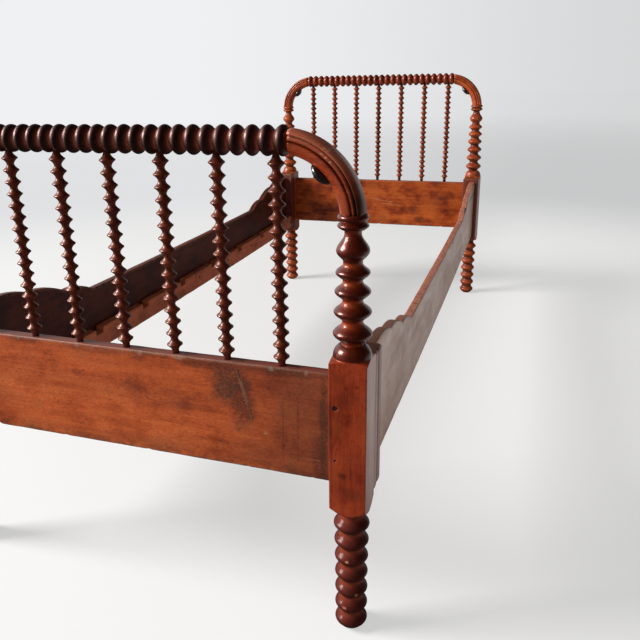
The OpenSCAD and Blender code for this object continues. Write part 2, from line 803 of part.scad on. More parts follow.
module end_block(side, end) {
    half_w = plate_w / 2 + tenon_gap;
    color(wood)
        corner(side, end)
            difference() {
                intersection() {
                    translate([0, 0, end_z0])
                        linear_extrude(end_z1 - end_z0)
                            polygon(end_block_plan());
                    translate([0, half_block + end_l, 0])
                        rotate([90, 0, 0])
                            linear_extrude(end_l)
                                polygon(end_block_front());
                }
                side_mortise();
                box([-half_w, half_block - eps, plate_z0 - tenon_gap],
                    [half_w, half_block + plate_t, plate_z0 + plate_l + tenon_gap]);
                for (z = screw_heights())
                    rod_y(0, half_block, z, screw_r + dowel_gap, plate_t + hook_screw_l() + end_gap);
            }
}

// ---- ledgers --------------------------------------------------------------

function ledger_outline() =
    let (top = ledger_z0 + ledger_h)
    concat(
        [[-side_half_l, ledger_z0], [-side_half_l, top]],
        [for (k = [0:notch_count - 1])
            let (y = notch_first_x - bed_l / 2 + k * notch_pitch)
                each [[y - notch_w / 2, top], [y - notch_w / 2, top - notch_d],
                    [y + notch_w / 2, top - notch_d], [y + notch_w / 2, top]]],
        [[side_half_l, top], [side_half_l, ledger_z0]]
    );

// Nail positions: half way between neighbouring notches, and past the last
function nail_y(k) = (k - (ledger_nails - 1) / 2) * nail_pitch;

module ledger_nail_holes() {
    for (k = [0:ledger_nails - 1])
        translate([side_x0 - ledger_w - eps, nail_y(k), ledger_z0 + ledger_h / 2])
            rotate([0, 90, 0])
                cylinder(r = nail_r + dowel_gap, h = ledger_nail_l + end_gap);
}

module ledger(side) {
    color(wood_dark)
        mirror([side > 0 ? 0 : 1, 0, 0])
            difference() {
                plank(side_x0 - ledger_w, side_x0)
                    polygon(ledger_outline());
                ledger_nail_holes();
            }
}

module ledger_nail_set() {
    color(iron)
        for (side = [0, 1])
            mirror([side, 0, 0])
                for (k = [0:ledger_nails - 1])
                    translate([side_x0 - ledger_w, nail_y(k), ledger_z0 + ledger_h / 2])
                        rotate([0, 90, 0]) {
                            cylinder(r = nail_r, h = ledger_nail_l);
                            translate([0, 0, -ledger_nail_head_h])
                                cylinder(r = ledger_nail_head_r, h = ledger_nail_head_h);
                        }
}

// ---- bed hooks ------------------------------------------------------------

// Heights at which the hooks' necks rest on the catch plate's slots
function hook_heights() = [for (k = [-0.5, 0.5]) hook_mid_z + k * hook_pitch - hook_neck_h / 2];

function screw_heights() = [plate_z0 + screw_inset, plate_z0 + plate_l - screw_inset];

// The hook plate's screws stop short of the side rail's tenon
function hook_screw_l() = end_l - side_tenon_l - end_gap - plate_t - screw_rest;

// A countersunk screw along +y, its head flush with y = 0
module screw(l) {
    rotate([-90, 0, 0])
        rotate_extrude()
            polygon([[0, 0], [screw_head_r, 0], [screw_r, screw_head_r - screw_r], [screw_r, l], [0, l]]);
}

// The space that a countersunk head takes out of a plate
module screw_cut() {
    gap = dowel_gap / 2;
    rotate([-90, 0, 0])
        rotate_extrude()
            polygon([[0, -end_gap], [screw_head_r + gap + end_gap, -end_gap],
                [screw_r + gap, screw_head_r - screw_r], [screw_r + gap, far], [0, far]]);
}

// Side view of one hook in the y-z plane: neck through the slot, lip behind
function hook_outline() =
    let (back_y = half_block - plate_t - tenon_gap)
    [
        [half_block + eps, 0], [half_block + eps, hook_neck_h],
        [back_y - hook_t + hook_round, hook_neck_h], [back_y - hook_t, hook_neck_h - hook_round],
        [back_y - hook_t, -hook_drop], [back_y, -hook_drop], [back_y, 0]
    ];

module hook(side, end) {
    color(iron)
        corner(side, end) {
            difference() {
                box([-plate_w / 2, half_block, plate_z0],
                    [plate_w / 2, half_block + plate_t, plate_z0 + plate_l]);
                for (z = screw_heights())
                    translate([0, half_block, z])
                        screw_cut();
            }
            for (z = hook_heights())
                translate([0, 0, z])
                    plank(-hook_t / 2, hook_t / 2)
                        polygon(hook_outline());
        }
}

module catch_plate(side, end) {
    color(iron)
        corner(side, end)
            difference() {
                box([-plate_w / 2, half_block - plate_t, plate_z0],
                    [plate_w / 2, half_block, plate_z0 + plate_l]);
                for (z = hook_heights())
                    box([-hook_t / 2 - slot_gap, half_block - plate_t - eps, z],
                        [hook_t / 2 + slot_gap, half_block + eps, z + slot_h]);
                for (z = screw_heights())
                    translate([0, half_block, z])
                        mirror([0, 1, 0])
                            screw_cut();
            }
}

// All the screws of one kind of plate, at the four corners
module screw_set(into_post, l) {
    for (side = [-1, 1])
        for (end = [-1, 1])
            corner(side, end)
                for (z = screw_heights())
                    translate([0, half_block, z])
                        mirror([0, into_post ? 1 : 0, 0])
                            screw(l);
}

module hook_screws() {
    color(iron)
        screw_set(false, plate_t + hook_screw_l());
}

module catch_screws() {
    color(iron)
        screw_set(true, plate_t + screw_l);
}

// ---- nodes ----------------------------------------------------------------

function side_name(side) = side > 0 ? "right" : "left";

for (side = [-1, 1]) {
    s = side_name(side);
    post(side, -1, foot_seat_z, foot_post_rings);
    post(side, 1, head_seat_z, head_post_rings);
    arch(side, -1, foot_seat_z);
    arch(side, 1, head_seat_z);
    button(side, -1, foot_seat_z);
    button(side, 1, head_seat_z);
    side_rail(side);
    ledger(side);
    end_block(side, -1);
    end_block(side, 1);
    hook(side, -1);
    hook(side, 1);
    catch_plate(side, -1);
    catch_plate(side, 1);
}
for (i = [1:spindle_count]) {
    spindle(i, -1, foot_rail_z, foot_spindle_rings, foot_spindle_foot_l);
    spindle(i, 1, head_rail_z, head_spindle_rings, head_spindle_foot_l);
}
top_rail(-1, foot_rail_z);  // foot_top_rail
top_rail(1, head_rail_z);  // head_top_rail
board(-1);  // foot_board
board(1);  // head_board
hook_screws();
catch_screws();
board_pegs();
board_nails();
ledger_nail_set();
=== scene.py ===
import math
from collections import namedtuple

import bpy
import numpy as np
from mathutils import Matrix, Vector, noise


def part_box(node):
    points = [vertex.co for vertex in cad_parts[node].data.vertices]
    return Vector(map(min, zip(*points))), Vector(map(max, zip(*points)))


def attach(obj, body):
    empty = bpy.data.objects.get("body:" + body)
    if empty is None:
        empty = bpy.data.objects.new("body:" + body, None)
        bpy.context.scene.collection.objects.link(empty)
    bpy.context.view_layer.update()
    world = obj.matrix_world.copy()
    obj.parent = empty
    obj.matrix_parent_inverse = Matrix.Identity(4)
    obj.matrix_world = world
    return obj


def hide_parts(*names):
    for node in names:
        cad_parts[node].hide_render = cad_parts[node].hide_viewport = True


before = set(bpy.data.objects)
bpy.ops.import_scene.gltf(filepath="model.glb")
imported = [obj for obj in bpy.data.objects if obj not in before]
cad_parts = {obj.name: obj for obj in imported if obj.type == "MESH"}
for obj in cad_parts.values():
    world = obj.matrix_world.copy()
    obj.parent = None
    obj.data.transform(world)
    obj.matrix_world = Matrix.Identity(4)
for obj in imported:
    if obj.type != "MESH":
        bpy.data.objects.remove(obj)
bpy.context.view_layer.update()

MM = 0.001

# ---- sizes of the bed, in metres --------------------------------------------

BLOCK_HALF = 28.5 * MM
BLOCK_LOW = 234 * MM
BLOCK_HIGH = 470 * MM
LOWER_CUT = 12 * MM
UPPER_CUT = 5 * MM
DOME = 19 * MM
LEG_SHOULDER = 3 * MM
LEG_NECK_LENGTH = 9 * MM
LEG_NECK = 17.6 * MM
LEG_CREST_LOW = 25.9 * MM
LEG_CREST_HIGH = 28 * MM
LEG_RINGS = 7
POST_RINGS = {"foot": 4, "head": 6}
POST_NECK_LOW = 15.1 * MM
POST_NECK_HIGH = 13.8 * MM
POST_CREST_LOW = 28.4 * MM
POST_CREST_HIGH = 24.4 * MM
POST_GROOVE = 1 * MM
RING_CROWD = 0.16
VASE_ZONE = 68 * MM
VASE_FOOT = 3.3 * MM
VASE_LOW = 14.5 * MM
VASE_HIGH = 24 * MM
VASE_R = 23.4 * MM
VASE_NECK = 11.9 * MM
VASE_BELLY = 0.75
COLLAR_LOW = 12 * MM
COLLAR_HIGH = 9.5 * MM
COLLAR_R = 21.9 * MM
COLLAR_STEP = 0.6 * MM
COLLAR_GROOVE = 16 * MM
PEG_HEIGHT = 402 * MM
NAIL_HEIGHT = 316 * MM
PEG_ASIDE = 18.5 * MM
PEG_R = 3.5 * MM
NAIL_R = 1.75 * MM
ARCH_R = 103 * MM
ARCH_FOOT = 7 * MM
ARCH_HALF_T = 17.6 * MM
ARCH_HALF_W = 18 * MM
ARCH_BEAD_AT = 5 * MM
ARCH_BEAD = 3.3 * MM
ARCH_BEAD_H = 3 * MM
ARCH_GROOVE_W = 1.2 * MM
ARCH_GROOVE_D = 4 * MM
ARCH_EDGE = 1.6 * MM
ARCH_OUTER_SHAPE = 0.8
BUTTON_R = 18.5 * MM
BUTTON_H = 12 * MM
BUTTON_SEAT = 86.9 * MM
RAIL_RINGS = 26
RAIL_CREST = 21.4 * MM
RAIL_NECK = 13.3 * MM
RAIL_GROOVE = 1 * MM
SPINDLE_RINGS = {"foot": 16, "head": 19}
SPINDLE_FOOT = {"foot": 4.7 * MM, "head": 12 * MM}
SPINDLE_CREST = 12.3 * MM
SPINDLE_NECK = 5.8 * MM
SPINDLE_STUB = 5 * MM
SPINDLE_TOP_GAP = 21.3 * MM
SIDE_MID = 390 * MM
LOBES = [(132, 460), (220, 443), (333, 414), (434, 390)]
SIDE_SAG = 7 * MM
NOTCHES = 8
NOTCH_W = 28 * MM
NOTCH_D = 14 * MM
NOTCH_FIRST = 198 * MM
REED_DEPTH = 2 * MM
SHAPED_END = 440 * MM
END_BLOCK_TALL = 0.233

# Where the faces that carry marks lie, and the three directions of the frame.
FOOT_BOARD_FACE = -0.947
NEAR_POST_FACE = -0.965
POST_SIDE = 0.4065
RAIL_FACE = 0.392
HEAD_BOARD_FACE = 0.926
ACROSS = (1, 0, 0)
AHEAD = (0, 1, 0)
UP = (0, 0, 1)

# Points round each kind of turning, and stations along an arch and a board.
RAIL_ROUND = 72
SPINDLE_ROUND = 36
BUTTON_ROUND = 48
ARCH_STATIONS = 52
BOARD_STATIONS = 260

# Radius of the tiny face that closes a turning at its axis, how square a
# block's corners are, and the least length that tells two places apart.
TIP = 0.2 * MM
SQUARENESS = 44
HAIR = 1e-6

CAMERA_PLACE = (0.603, -1.8176, 0.8601)
CAMERA_TURN = (19.6, -17.96, -1.32)
FOCAL_PX = 681.8
PICTURE_PX = 640
SENSOR_WIDTH = 36
CAMERA_SHIFT = (0.0422, -0.0364)


def axis_of(node):
    """Middle of a node's box across and along the bed."""
    low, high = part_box(node)
    return Vector(((low.x + high.x) / 2, (low.y + high.y) / 2, 0))


# ---- shader nodes as arithmetic ----------------------------------------------


class Wire:
    """A shader value. Arithmetic on it adds Math nodes to its finish."""

    def __init__(self, finish, socket):
        self.finish = finish
        self.socket = socket

    def math(self, operation, *others):
        return self.finish.add("ShaderNodeMath", {"operation": operation}, [self, *others])

    def __add__(self, other):
        return self.math("ADD", other)

    def __sub__(self, other):
        return self.math("SUBTRACT", other)

    def __rsub__(self, other):
        return self.finish.add("ShaderNodeMath", {"operation": "SUBTRACT"}, [other, self])

    def __mul__(self, other):
        return self.math("MULTIPLY", other)

    def __pow__(self, other):
        return self.math("POWER", other)

    def __abs__(self):
        return self.math("ABSOLUTE")

    def clamped(self):
        return self.math("MAXIMUM", 0.0).math("MINIMUM", 1.0)

    def above(self, low, high):
        """0 below low, 1 above high, and a smooth step between."""
        return self.finish.add(
            "ShaderNodeMapRange",
            {"interpolation_type": "SMOOTHSTEP"},
            {"Value": self, "From Min": low, "From Max": high},
        )


class Shading:
    """A node tree under construction, with one method that adds any node."""

    def __init__(self, tree):
        self.tree = tree
        tree.nodes.clear()

    def add(self, kind, settings=None, values=None, output=0):
        node = self.tree.nodes.new(kind)
        for key, value in (settings or {}).items():
            if key == "stops":
                self.set_stops(node.color_ramp, value)
            else:
                setattr(node, key, value)
        named = values if isinstance(values, dict) else dict(enumerate(values or []))
        for key, value in named.items():
            socket = node.inputs[key]
            if isinstance(value, Wire):
                self.tree.links.new(value.socket, socket)
            else:
                socket.default_value = value
        return Wire(self, node.outputs[output]) if node.outputs else None

    def set_stops(self, ramp, stops):
        while len(ramp.elements) < len(stops):
            ramp.elements.new(0.5)
        for element, (place, colour) in zip(ramp.elements, stops):
            element.position = place
            element.color = (*colour, 1)

    def attribute(self, name, output="Fac"):
        return self.add("ShaderNodeAttribute", {"attribute_name": name}, output=output)

    def vector(self, operation, *values, output=0):
        return self.add("ShaderNodeVectorMath", {"operation": operation}, values, output)

    def place(self):
        return self.add("ShaderNodeTexCoord", output="Object")

    def along(self, vector, direction, origin=(0, 0, 0)):
        """How far a place lies from an origin along a direction."""
        away = self.vector("SUBTRACT", vector, origin)
        return self.vector("DOT_PRODUCT", away, direction, output="Value")

    def noise(self, vector, scale, detail=3, roughness=0.55):
        return self.add(
            "ShaderNodeTexNoise",
            None,
            {"Vector": vector, "Scale": scale, "Detail": detail, "Roughness": roughness},
        )

    def streaks(self, vector, stretch, detail=3, roughness=0.55):
        """Noise whose patches are finer along an axis with a larger stretch."""
        return self.noise(self.vector("MULTIPLY", vector, stretch), 1.0, detail, roughness)

    def mixed(self, low, high, factor):
        """Colour low where factor is 0 and colour high where it is 1."""
        low, high = ((*c, 1) if isinstance(c, tuple) else c for c in (low, high))
        return self.add("ShaderNodeMix", {"data_type": "RGBA"}, {0: factor, 6: low, 7: high}, 2)

    def toned(self, tone, tones):
        """One of three colours, dark to light, by a tone from 0 to 1."""
        return self.add("ShaderNodeValToRGB", {"stops": list(zip(TONE_PLACES, tones))}, [tone])

    def patch(self, place, middle, size, torn, ragged=0.5):
        """A ragged oval patch, 1 inside it and 0 outside."""
        off = self.vector("DIVIDE", self.vector("SUBTRACT", place, middle), size)
        reach = self.vector("LENGTH", off, output="Value") + (torn - 0.5) * (2 * ragged)
        return 1 - reach.above(0.4, 1.3)

    def scratch(self, place, start, stop, width, torn, normal=(0, -1, 0)):
        """A thin line on a flat face between two places, 1 on it and 0 off it."""
        run = Vector(stop) - Vector(start)
        across = run.cross(Vector(normal)).normalized()
        far = self.along(place, run.normalized(), start)
        off = self.along(place, across, start) + (torn - 0.5) * (3 * width)
        ends = far.above(-width, width) * (1 - far.above(run.length - width, run.length + width))
        return ends * (1 - abs(off).above(0.4 * width, width))


class Finish(Shading):
    """The shading of one material."""

    def __init__(self, name):
        self.material = bpy.data.materials.new(name)
        self.material.use_nodes = True
        super().__init__(self.material.node_tree)

    def bumpy(self, height, strength, distance):
        values = {"Height": height, "Strength": strength, "Distance": distance}
        return self.add("ShaderNodeBump", None, values)

    def close(self, shader):
        self.add("ShaderNodeOutputMaterial", None, {"Surface": shader})
        return self.material

    def surfaced(self, values):
        """Closes the material with one surface that has the given values."""
        return self.close(self.add("ShaderNodeBsdfPrincipled", None, values))


# ---- colours -------------------------------------------------------------------

# crest is the colour of the aged parts' rubbed crests and edges, and neck the colour laid into their necks: a
# bright red on the posts, legs and top rails, which is a painted light; a dark red on the spindles; a
# near-black on the arch's outer band, partly soil and partly painted shade.
Patina = namedtuple("Patina", "tones crest shine coat neck")
Glow = namedtuple("Glow", "colour strength")

# Where a wood's dark, middle and light colours lie on the way from 0 to 1.
TONE_PLACES = (0.3, 0.5, 0.72)

RED_WORN = (0.22, 0.06, 0.03)
# Grey of chipped and worn edges; along the foot board's top front edge, also a painted highlight.
BROWN_WORN = (0.2, 0.085, 0.05)
BARE_WOOD = (0.42, 0.2, 0.1)
GREY_CHIP_AND_HIGHLIGHT = (0.22, 0.15, 0.11)
ORANGE_TINT = (0.3, 0.07, 0.016)
WARM_TINT = (0.55, 0.15, 0.035)
DARK_STAIN = (0.055, 0.013, 0.007)
GREEN_STAIN = (0.05, 0.026, 0.012)
# A near-black soil colour, also laid in the grooves and holes as painted shade.
GRIME_AND_SHADE = (0.007, 0.0015, 0.001)
BOARD_GRIME = (0.05, 0.01, 0.004)
DARK_CREST = (0.04, 0.005, 0.003)
# A bright red laid into the necks of the glassy turnings, a painted light.
RED_NECK_LIGHT = (0.3, 0.045, 0.01)
LEG_BROWN = (0.034, 0.01, 0.011)
# A red laid into the necks of the legs, a painted light.
LEG_NECK_LIGHT = (0.2, 0.04, 0.02)
# Grey-purple on the foot board's top face, a painted reflection.
BOARD_TOP_SHEEN = (0.12, 0.035, 0.03)
# Lighter brown on the tops of the foot arches' outer bands, a painted light, and near-black at their feet, a
# painted shade.
ARCH_TOP_LIGHT = (0.4, 0.11, 0.06)
ARCH_FOOT_SHADE = (0.012, 0.002, 0.001)
# Paler colours on the right rail's upward faces, a painted light, dimmer over the foot lobes.
RAIL_TOP_LIGHT = (0.42, 0.17, 0.115)
LOBE_TOP_LIGHT = (0.13, 0.07, 0.052)
# Pale dust colours with a painted sheen, for the faces that point to the right.
POST_DUST_AND_SHEEN = (0.38, 0.2, 0.16)
RAIL_DUST_AND_SHEEN = (0.52, 0.29, 0.21)
BLOCK_DUST_AND_SHEEN = (0.3, 0.13, 0.1)
HEAD_POST_WORN = (0.3, 0.1, 0.045)
HEAD_ARCH_WORN = (0.36, 0.13, 0.06)
HEAD_SPINDLE_WORN = (0.3, 0.1, 0.05)

BLOCK_TONES = ((0.095, 0.0095, 0.0035), (0.22, 0.029, 0.009), (0.33, 0.052, 0.015))
TURNED_TONES = ((0.018, 0.0012, 0.0003), (0.045, 0.003, 0.0006), (0.09, 0.008, 0.0016))
ARCH_TONES = ((0.11, 0.012, 0.003), (0.24, 0.031, 0.008), (0.36, 0.055, 0.014))
OUTER_BAND_TONES = ((0.06, 0.009, 0.004), (0.13, 0.021, 0.009), (0.19, 0.038, 0.017))
TOP_RAIL_TONES = ((0.004, 0.0004, 0.0002), (0.01, 0.0009, 0.0005), (0.025, 0.0027, 0.0013))
SPINDLE_TONES = ((0.025, 0.003, 0.0012), (0.075, 0.01, 0.004), (0.14, 0.024, 0.01))
BOARD_TONES = ((0.23, 0.033, 0.004), (0.39, 0.067, 0.01), (0.53, 0.118, 0.024))
HEAD_BOARD_TONES = ((0.1, 0.012, 0.002), (0.26, 0.041, 0.004), (0.42, 0.09, 0.012))
HEAD_POST_TONES = ((0.115, 0.015, 0.0035), (0.265, 0.042, 0.009), (0.38, 0.077, 0.019))
HEAD_ARCH_TONES = ((0.13, 0.017, 0.004), (0.29, 0.046, 0.01), (0.41, 0.085, 0.021))
HEAD_RAIL_TONES = ((0.07, 0.008, 0.002), (0.155, 0.02, 0.005), (0.24, 0.04, 0.01))
HEAD_SPINDLE_TONES = ((0.09, 0.013, 0.004), (0.22, 0.036, 0.012), (0.32, 0.065, 0.02))
SIDE_TONES = ((0.026, 0.0035, 0.0013), (0.062, 0.009, 0.0035), (0.11, 0.02, 0.008))
LEDGER_TONES = ((0.2, 0.045, 0.017), (0.37, 0.09, 0.037), (0.52, 0.15, 0.07))
END_BLOCK_TONES = ((0.05, 0.009, 0.005), (0.12, 0.024, 0.013), (0.19, 0.045, 0.025))
PEG_TONES = ((0.01, 0.002, 0.001), (0.03, 0.006, 0.003), (0.06, 0.014, 0.007))

GLASSY = Patina(TURNED_TONES, DARK_CREST, 0.38, 0.75, RED_NECK_LIGHT)
GLASSY_BAND = Patina(OUTER_BAND_TONES, DARK_CREST, 0.4, 0.3, GRIME_AND_SHADE)
# The top rail's neck colour is a bright red, a painted light.
GLASSY_RAIL = Patina(TOP_RAIL_TONES, (0.012, 0.0015, 0.0008), 0.4, 0.22, (0.42, 0.07, 0.03))
GLASSY_SPINDLE = Patina(SPINDLE_TONES, (0.06, 0.01, 0.006), 0.4, 0.3, (0.09, 0.013, 0.006))
PLAIN_GLOW = Glow((1.0, 1.0, 1.0), 0.25)
RED_GLOW = Glow((1.0, 0.15, 0.05), 0.5)
PINK_GLOW = Glow((1.0, 0.44, 0.36), 0.8)
COPPER_GLOW = Glow((1.0, 0.42, 0.25), 0.45)


# ---- finishes ------------------------------------------------------------------


def wood_finish(name, tones, worn, grime_and_shade=GRIME_AND_SHADE, shine=0.4, coat=0.1, wear=0.5, dirt_and_shade=0.8,
                mottle=1.0, aged=None, marks=None, glow=PLAIN_GLOW):
    """Varnished old wood. The grain runs along the first part of the mesh's
    own grain attribute. Crests and edges are rubbed to the colour worn, and
    the narrow grooves and holes are darkened, partly soil and partly painted
    shade. tones are the wood's dark, middle and light colours. aged is the
    patina of the parts whose varnish has gone dark and glassy, where the
    mesh's aged attribute is 1; its neck colour, laid into their necks, is
    mostly a painted light. marks adds the marks of one piece, and glow is the
    broad shine from within the varnish, under the gloss on top."""
    wood = Finish(name)
    grain = wood.attribute("grain", "Vector")
    edge = wood.attribute("edge")
    groove = wood.attribute("groove")
    drift = wood.streaks(grain, (3, 9, 9), 3)
    figure = wood.streaks(grain, (5, 70, 70), 5, 0.6)
    fibre = wood.streaks(grain, (22, 700, 700), 3, 0.6)
    pores = wood.streaks(grain, (90, 1500, 1500), 2, 0.5).above(0.6, 0.72)
    blotch = wood.streaks(grain, (16, 24, 24), 6, 0.66)
    rub = wood.streaks(grain, (70, 110, 110), 5, 0.65)
    pits = wood.streaks(grain, (240, 520, 520), 2, 0.5).above(0.68, 0.76)
    tone = (drift * 0.4 + figure * 0.45 + fibre * 0.25 + (blotch - 0.5) * (0.9 * mottle) - 0.05).clamped()
    base = wood.toned(tone, tones)
    rubbed, gloss, roughness = worn, coat, shine
    if aged:
        old = wood.attribute("aged")
        base = wood.mixed(base, wood.toned(tone, aged.tones), old)
        # The necks of aged parts take the patina's neck colour, on most of them a painted light.
        base = wood.mixed(base, aged.neck, (old * groove ** 4 * 0.7).clamped())
        rubbed = wood.mixed(worn, aged.crest, old)
        roughness = old * (aged.shine - shine) + shine
        gloss = old * (aged.coat - coat) + coat
    else:
        old = 0
    stained = wood.mixed(base, grime_and_shade, blotch.above(0.52, 0.78) * (0.55 * dirt_and_shade * mottle))
    pored = wood.mixed(stained, grime_and_shade, (pores * 0.4 + pits * (0.5 * dirt_and_shade)).clamped())
    # The grooves and holes are darkened, partly soil and partly painted shade.
    groove_grime_and_shade = groove ** 3 * (blotch * 0.6 + 0.5) * dirt_and_shade
    grimed_and_shaded = wood.mixed(pored, grime_and_shade, (groove_grime_and_shade * (1 - old * 0.75)).clamped())
    bare = (edge * (rub + 0.15)).above(0.46, 0.68) * wear
    flecks = wood.streaks(grain, (120, 260, 260), 2).above(0.71, 0.77)
    scuffed = (bare + flecks * (0.15 * wear)).clamped()
    look = {
        "colour": wood.mixed(grimed_and_shaded, rubbed, scuffed),
        "relief": (figure * 0.25 + fibre * 0.2 - pores * 0.3 + rub * 0.35 + blotch * 0.3
                   - scuffed * 0.3 - pits * 0.4),
        "dull": blotch * 0.2 + scuffed * 0.2 + groove * 0.1 - 0.1,
        "groove": groove,
        "old": old,
        "gloss": gloss,
    }
    if marks:
        marks(wood, look)
    bump = wood.bumpy(look["relief"], 0.35, 0.6 * MM)
    return wood.surfaced({
        "Base Color": look["colour"],
        "Roughness": (look["dull"] + roughness).clamped(),
        "Normal": bump,
        "Coat Weight": ((1 - look["dull"] * 2.5) * look["gloss"]).clamped(),
        "Coat Roughness": 0.18,
        "Specular Tint": (*glow.colour, 1),
        "Specular IOR Level": glow.strength,
    })


def stain(wood, look, mask, colour, dull=0.0, relief=0.0):
    """Lays one mark over the wood: its colour, how dull it is and its relief."""
    look["colour"] = wood.mixed(look["colour"], colour, mask)
    look["dull"] = look["dull"] + mask * dull
    look["relief"] = look["relief"] + mask * relief


def dull_leg(wood, look):
    """The legs are darker brown and have lost part of the gloss that the upper turnings keep, and their necks
    are painted red, a painted light.
    """
    place = wood.place()
    leg = 1 - wood.along(place, UP).above(0.215, 0.23)
    look["colour"] = wood.mixed(look["colour"], LEG_BROWN, leg * 0.65)
    # A red in the leg necks, a painted light.
    look["colour"] = wood.mixed(look["colour"], LEG_NECK_LIGHT, leg * look["groove"] ** 4 * 0.4)
    look["dull"] = look["dull"] + leg * 0.22
    look["gloss"] = look["gloss"] * (1 - leg * 0.3)


def dust_and_sheen_outside(wood, look, reach, margin, colour, share, streaks):
    """A pale skin of dust and painted sheen on the faces that point to the
    right, which shine in streaks. reach is how far out they lie, margin how
    deep the skin goes, and streaks the stretch of the noise."""
    place = wood.place()
    off = wood.along(place, ACROSS).above(reach - margin, reach - margin / 3)
    streak = wood.streaks(place, streaks, 6, 0.7)
    dust_and_sheen_film = streak.above(0.0, 0.5)
    # Pale dust and a painted sheen, in streaks.
    look["colour"] = wood.mixed(look["colour"], colour, off * dust_and_sheen_film * share)
    look["dull"] = look["dull"] + off * (dust_and_sheen_film * 0.1)
    look["gloss"] = off * (streak.above(0.3, 0.7) * 0.75 + 0.2) + look["gloss"]
    return place


def foot_board_marks(wood, look):
    """The spill, scar, scratches and chips on the foot board's outer face."""
    place = wood.place()
    front = 1 - wood.along(place, AHEAD, (0, FOOT_BOARD_FACE, 0)).above(0.002, 0.004)
    torn = wood.noise(place, 60.0, 6, 0.7)
    fine = wood.noise(place, 420.0, 3, 0.6)
    speckled = fine.above(0.36, 0.56) * 0.5 + 0.5

    def oval(x, z, width, height, share, colour, **change):
        patch = wood.patch(place, (x, FOOT_BOARD_FACE, z), (width, 1, height), torn, 0.9)
        stain(wood, look, patch * front * speckled * share, colour, **change)

    def line(x0, z0, x1, z1, width, share, colour, **change):
        mark = wood.scratch(place, (x0, FOOT_BOARD_FACE, z0), (x1, FOOT_BOARD_FACE, z1), width, fine)
        stain(wood, look, mark * front * share, colour, **change)

    for x, z, width, height, share in (
        (0.027, 0.437, 0.018, 0.009, 0.5), (0.008, 0.384, 0.024, 0.012, 0.3), (0.1, 0.361, 0.03, 0.012, 0.4),
        (-0.12, 0.372, 0.16, 0.03, 0.14), (0.06, 0.37, 0.1, 0.022, 0.2), (-0.2, 0.41, 0.03, 0.02, 0.15),
        (-0.27, 0.33, 0.04, 0.018, 0.2), (0.29, 0.42, 0.05, 0.03, 0.35), (0.12, 0.3, 0.06, 0.014, 0.2),
        (0.22, 0.3, 0.06, 0.02, 0.3), (0.02, 0.29, 0.08, 0.012, 0.25), (0.3, 0.35, 0.05, 0.08, 0.3),
        (0.15, 0.437, 0.05, 0.008, 0.6), (-0.06, 0.439, 0.07, 0.007, 0.5), (0.27, 0.44, 0.06, 0.008, 0.7),
    ):
        oval(x, z, width, height, share, DARK_STAIN, dull=0.05)
    oval(0.185, 0.417, 0.036, 0.036, 0.8, DARK_STAIN, dull=0.1)
    oval(0.205, 0.38, 0.022, 0.045, 0.8, DARK_STAIN, dull=0.1)
    oval(0.178, 0.4, 0.02, 0.03, 0.5, GREEN_STAIN, dull=0.1)
    oval(0.337, 0.34, 0.007, 0.11, 0.85, GREEN_STAIN, dull=0.1)
    oval(0.328, 0.3, 0.012, 0.05, 0.6, DARK_STAIN, dull=0.1)
    line(0.1985, 0.437, 0.2225, 0.352, 0.0028, 0.8, DARK_STAIN, relief=-0.8)
    line(0.197, 0.438, 0.221, 0.353, 0.0016, 0.22, BARE_WOOD, relief=0.4)
    line(0.203, 0.42, 0.214, 0.38, 0.004, 0.2, BARE_WOOD)
    oval(0.243, 0.334, 0.0042, 0.0034, 0.7, BARE_WOOD, relief=-0.4)
    oval(0.2715, 0.317, 0.0028, 0.0035, 0.8, GRIME_AND_SHADE, relief=-0.8)
    line(0.2735, 0.395, 0.2705, 0.29, 0.0014, 0.4, DARK_STAIN, relief=-0.3)
    line(0.297, 0.398, 0.2945, 0.292, 0.0014, 0.4, DARK_STAIN, relief=-0.3)
    line(0.299, 0.3, 0.331, 0.3, 0.002, 0.2, BARE_WOOD, relief=-0.4)
    line(-0.19, 0.345, -0.02, 0.352, 0.0012, 0.2, DARK_STAIN, relief=-0.2)
    line(-0.3, 0.39, -0.16, 0.382, 0.0012, 0.3, DARK_STAIN, relief=-0.3)
    line(0.03, 0.33, 0.17, 0.322, 0.0012, 0.2, DARK_STAIN, relief=-0.2)
    grainy = wood.streaks(place, (150, 150, 420), 4, 0.7)
    stain(wood, look, grainy.above(0.48, 0.68) * front * 0.55, DARK_STAIN, relief=-0.2)
    stain(wood, look, (1 - grainy).above(0.56, 0.72) * front * 0.3, WARM_TINT)
    height = wood.along(place, UP)
    low_edge = 1 - height.above(0.268, 0.296)
    stain(wood, look, low_edge * front * torn.above(0.35, 0.6) * 0.55, DARK_STAIN)
    high_edge = height.above(0.428, 0.446)
    stain(wood, look, high_edge * front * torn.above(0.4, 0.6) * 0.45, DARK_STAIN)
    # The top face is painted grey-purple, a painted reflection.
    over = wood.along(place, UP, (0, 0, 0.4452)).above(0, 0.001)
    top_face = over * wood.along(place, AHEAD, (0, -0.9455, 0)).above(0, 0.001)
    stain(wood, look, top_face * 0.85, BOARD_TOP_SHEEN)
    # A broken grey line along the top front edge: chips and a painted highlight.
    arris_highlight = wood.along(place, UP, (0, 0, 0.443)).above(0, 0.0015) * (1 - top_face)
    stain(wood, look, arris_highlight * front * fine.above(0.4, 0.6) * 0.5, GREY_CHIP_AND_HIGHLIGHT)
    # The right end of the board is darker, a painted shade away from the lamp on the left.
    shaded_right_end = wood.along(place, ACROSS).above(0.12, 0.36)
    stain(wood, look, shaded_right_end * front * (torn * 0.6 + 0.18), DARK_STAIN)
    for x, width in (
        (0.1, 0.008), (-0.09, 0.005), (-0.21, 0.004), (0.03, 0.004), (0.255, 0.005), (0.31, 0.004),
    ):
        oval(x, 0.4435, width, 0.0045, 0.6, GREY_CHIP_AND_HIGHLIGHT, relief=-0.5)


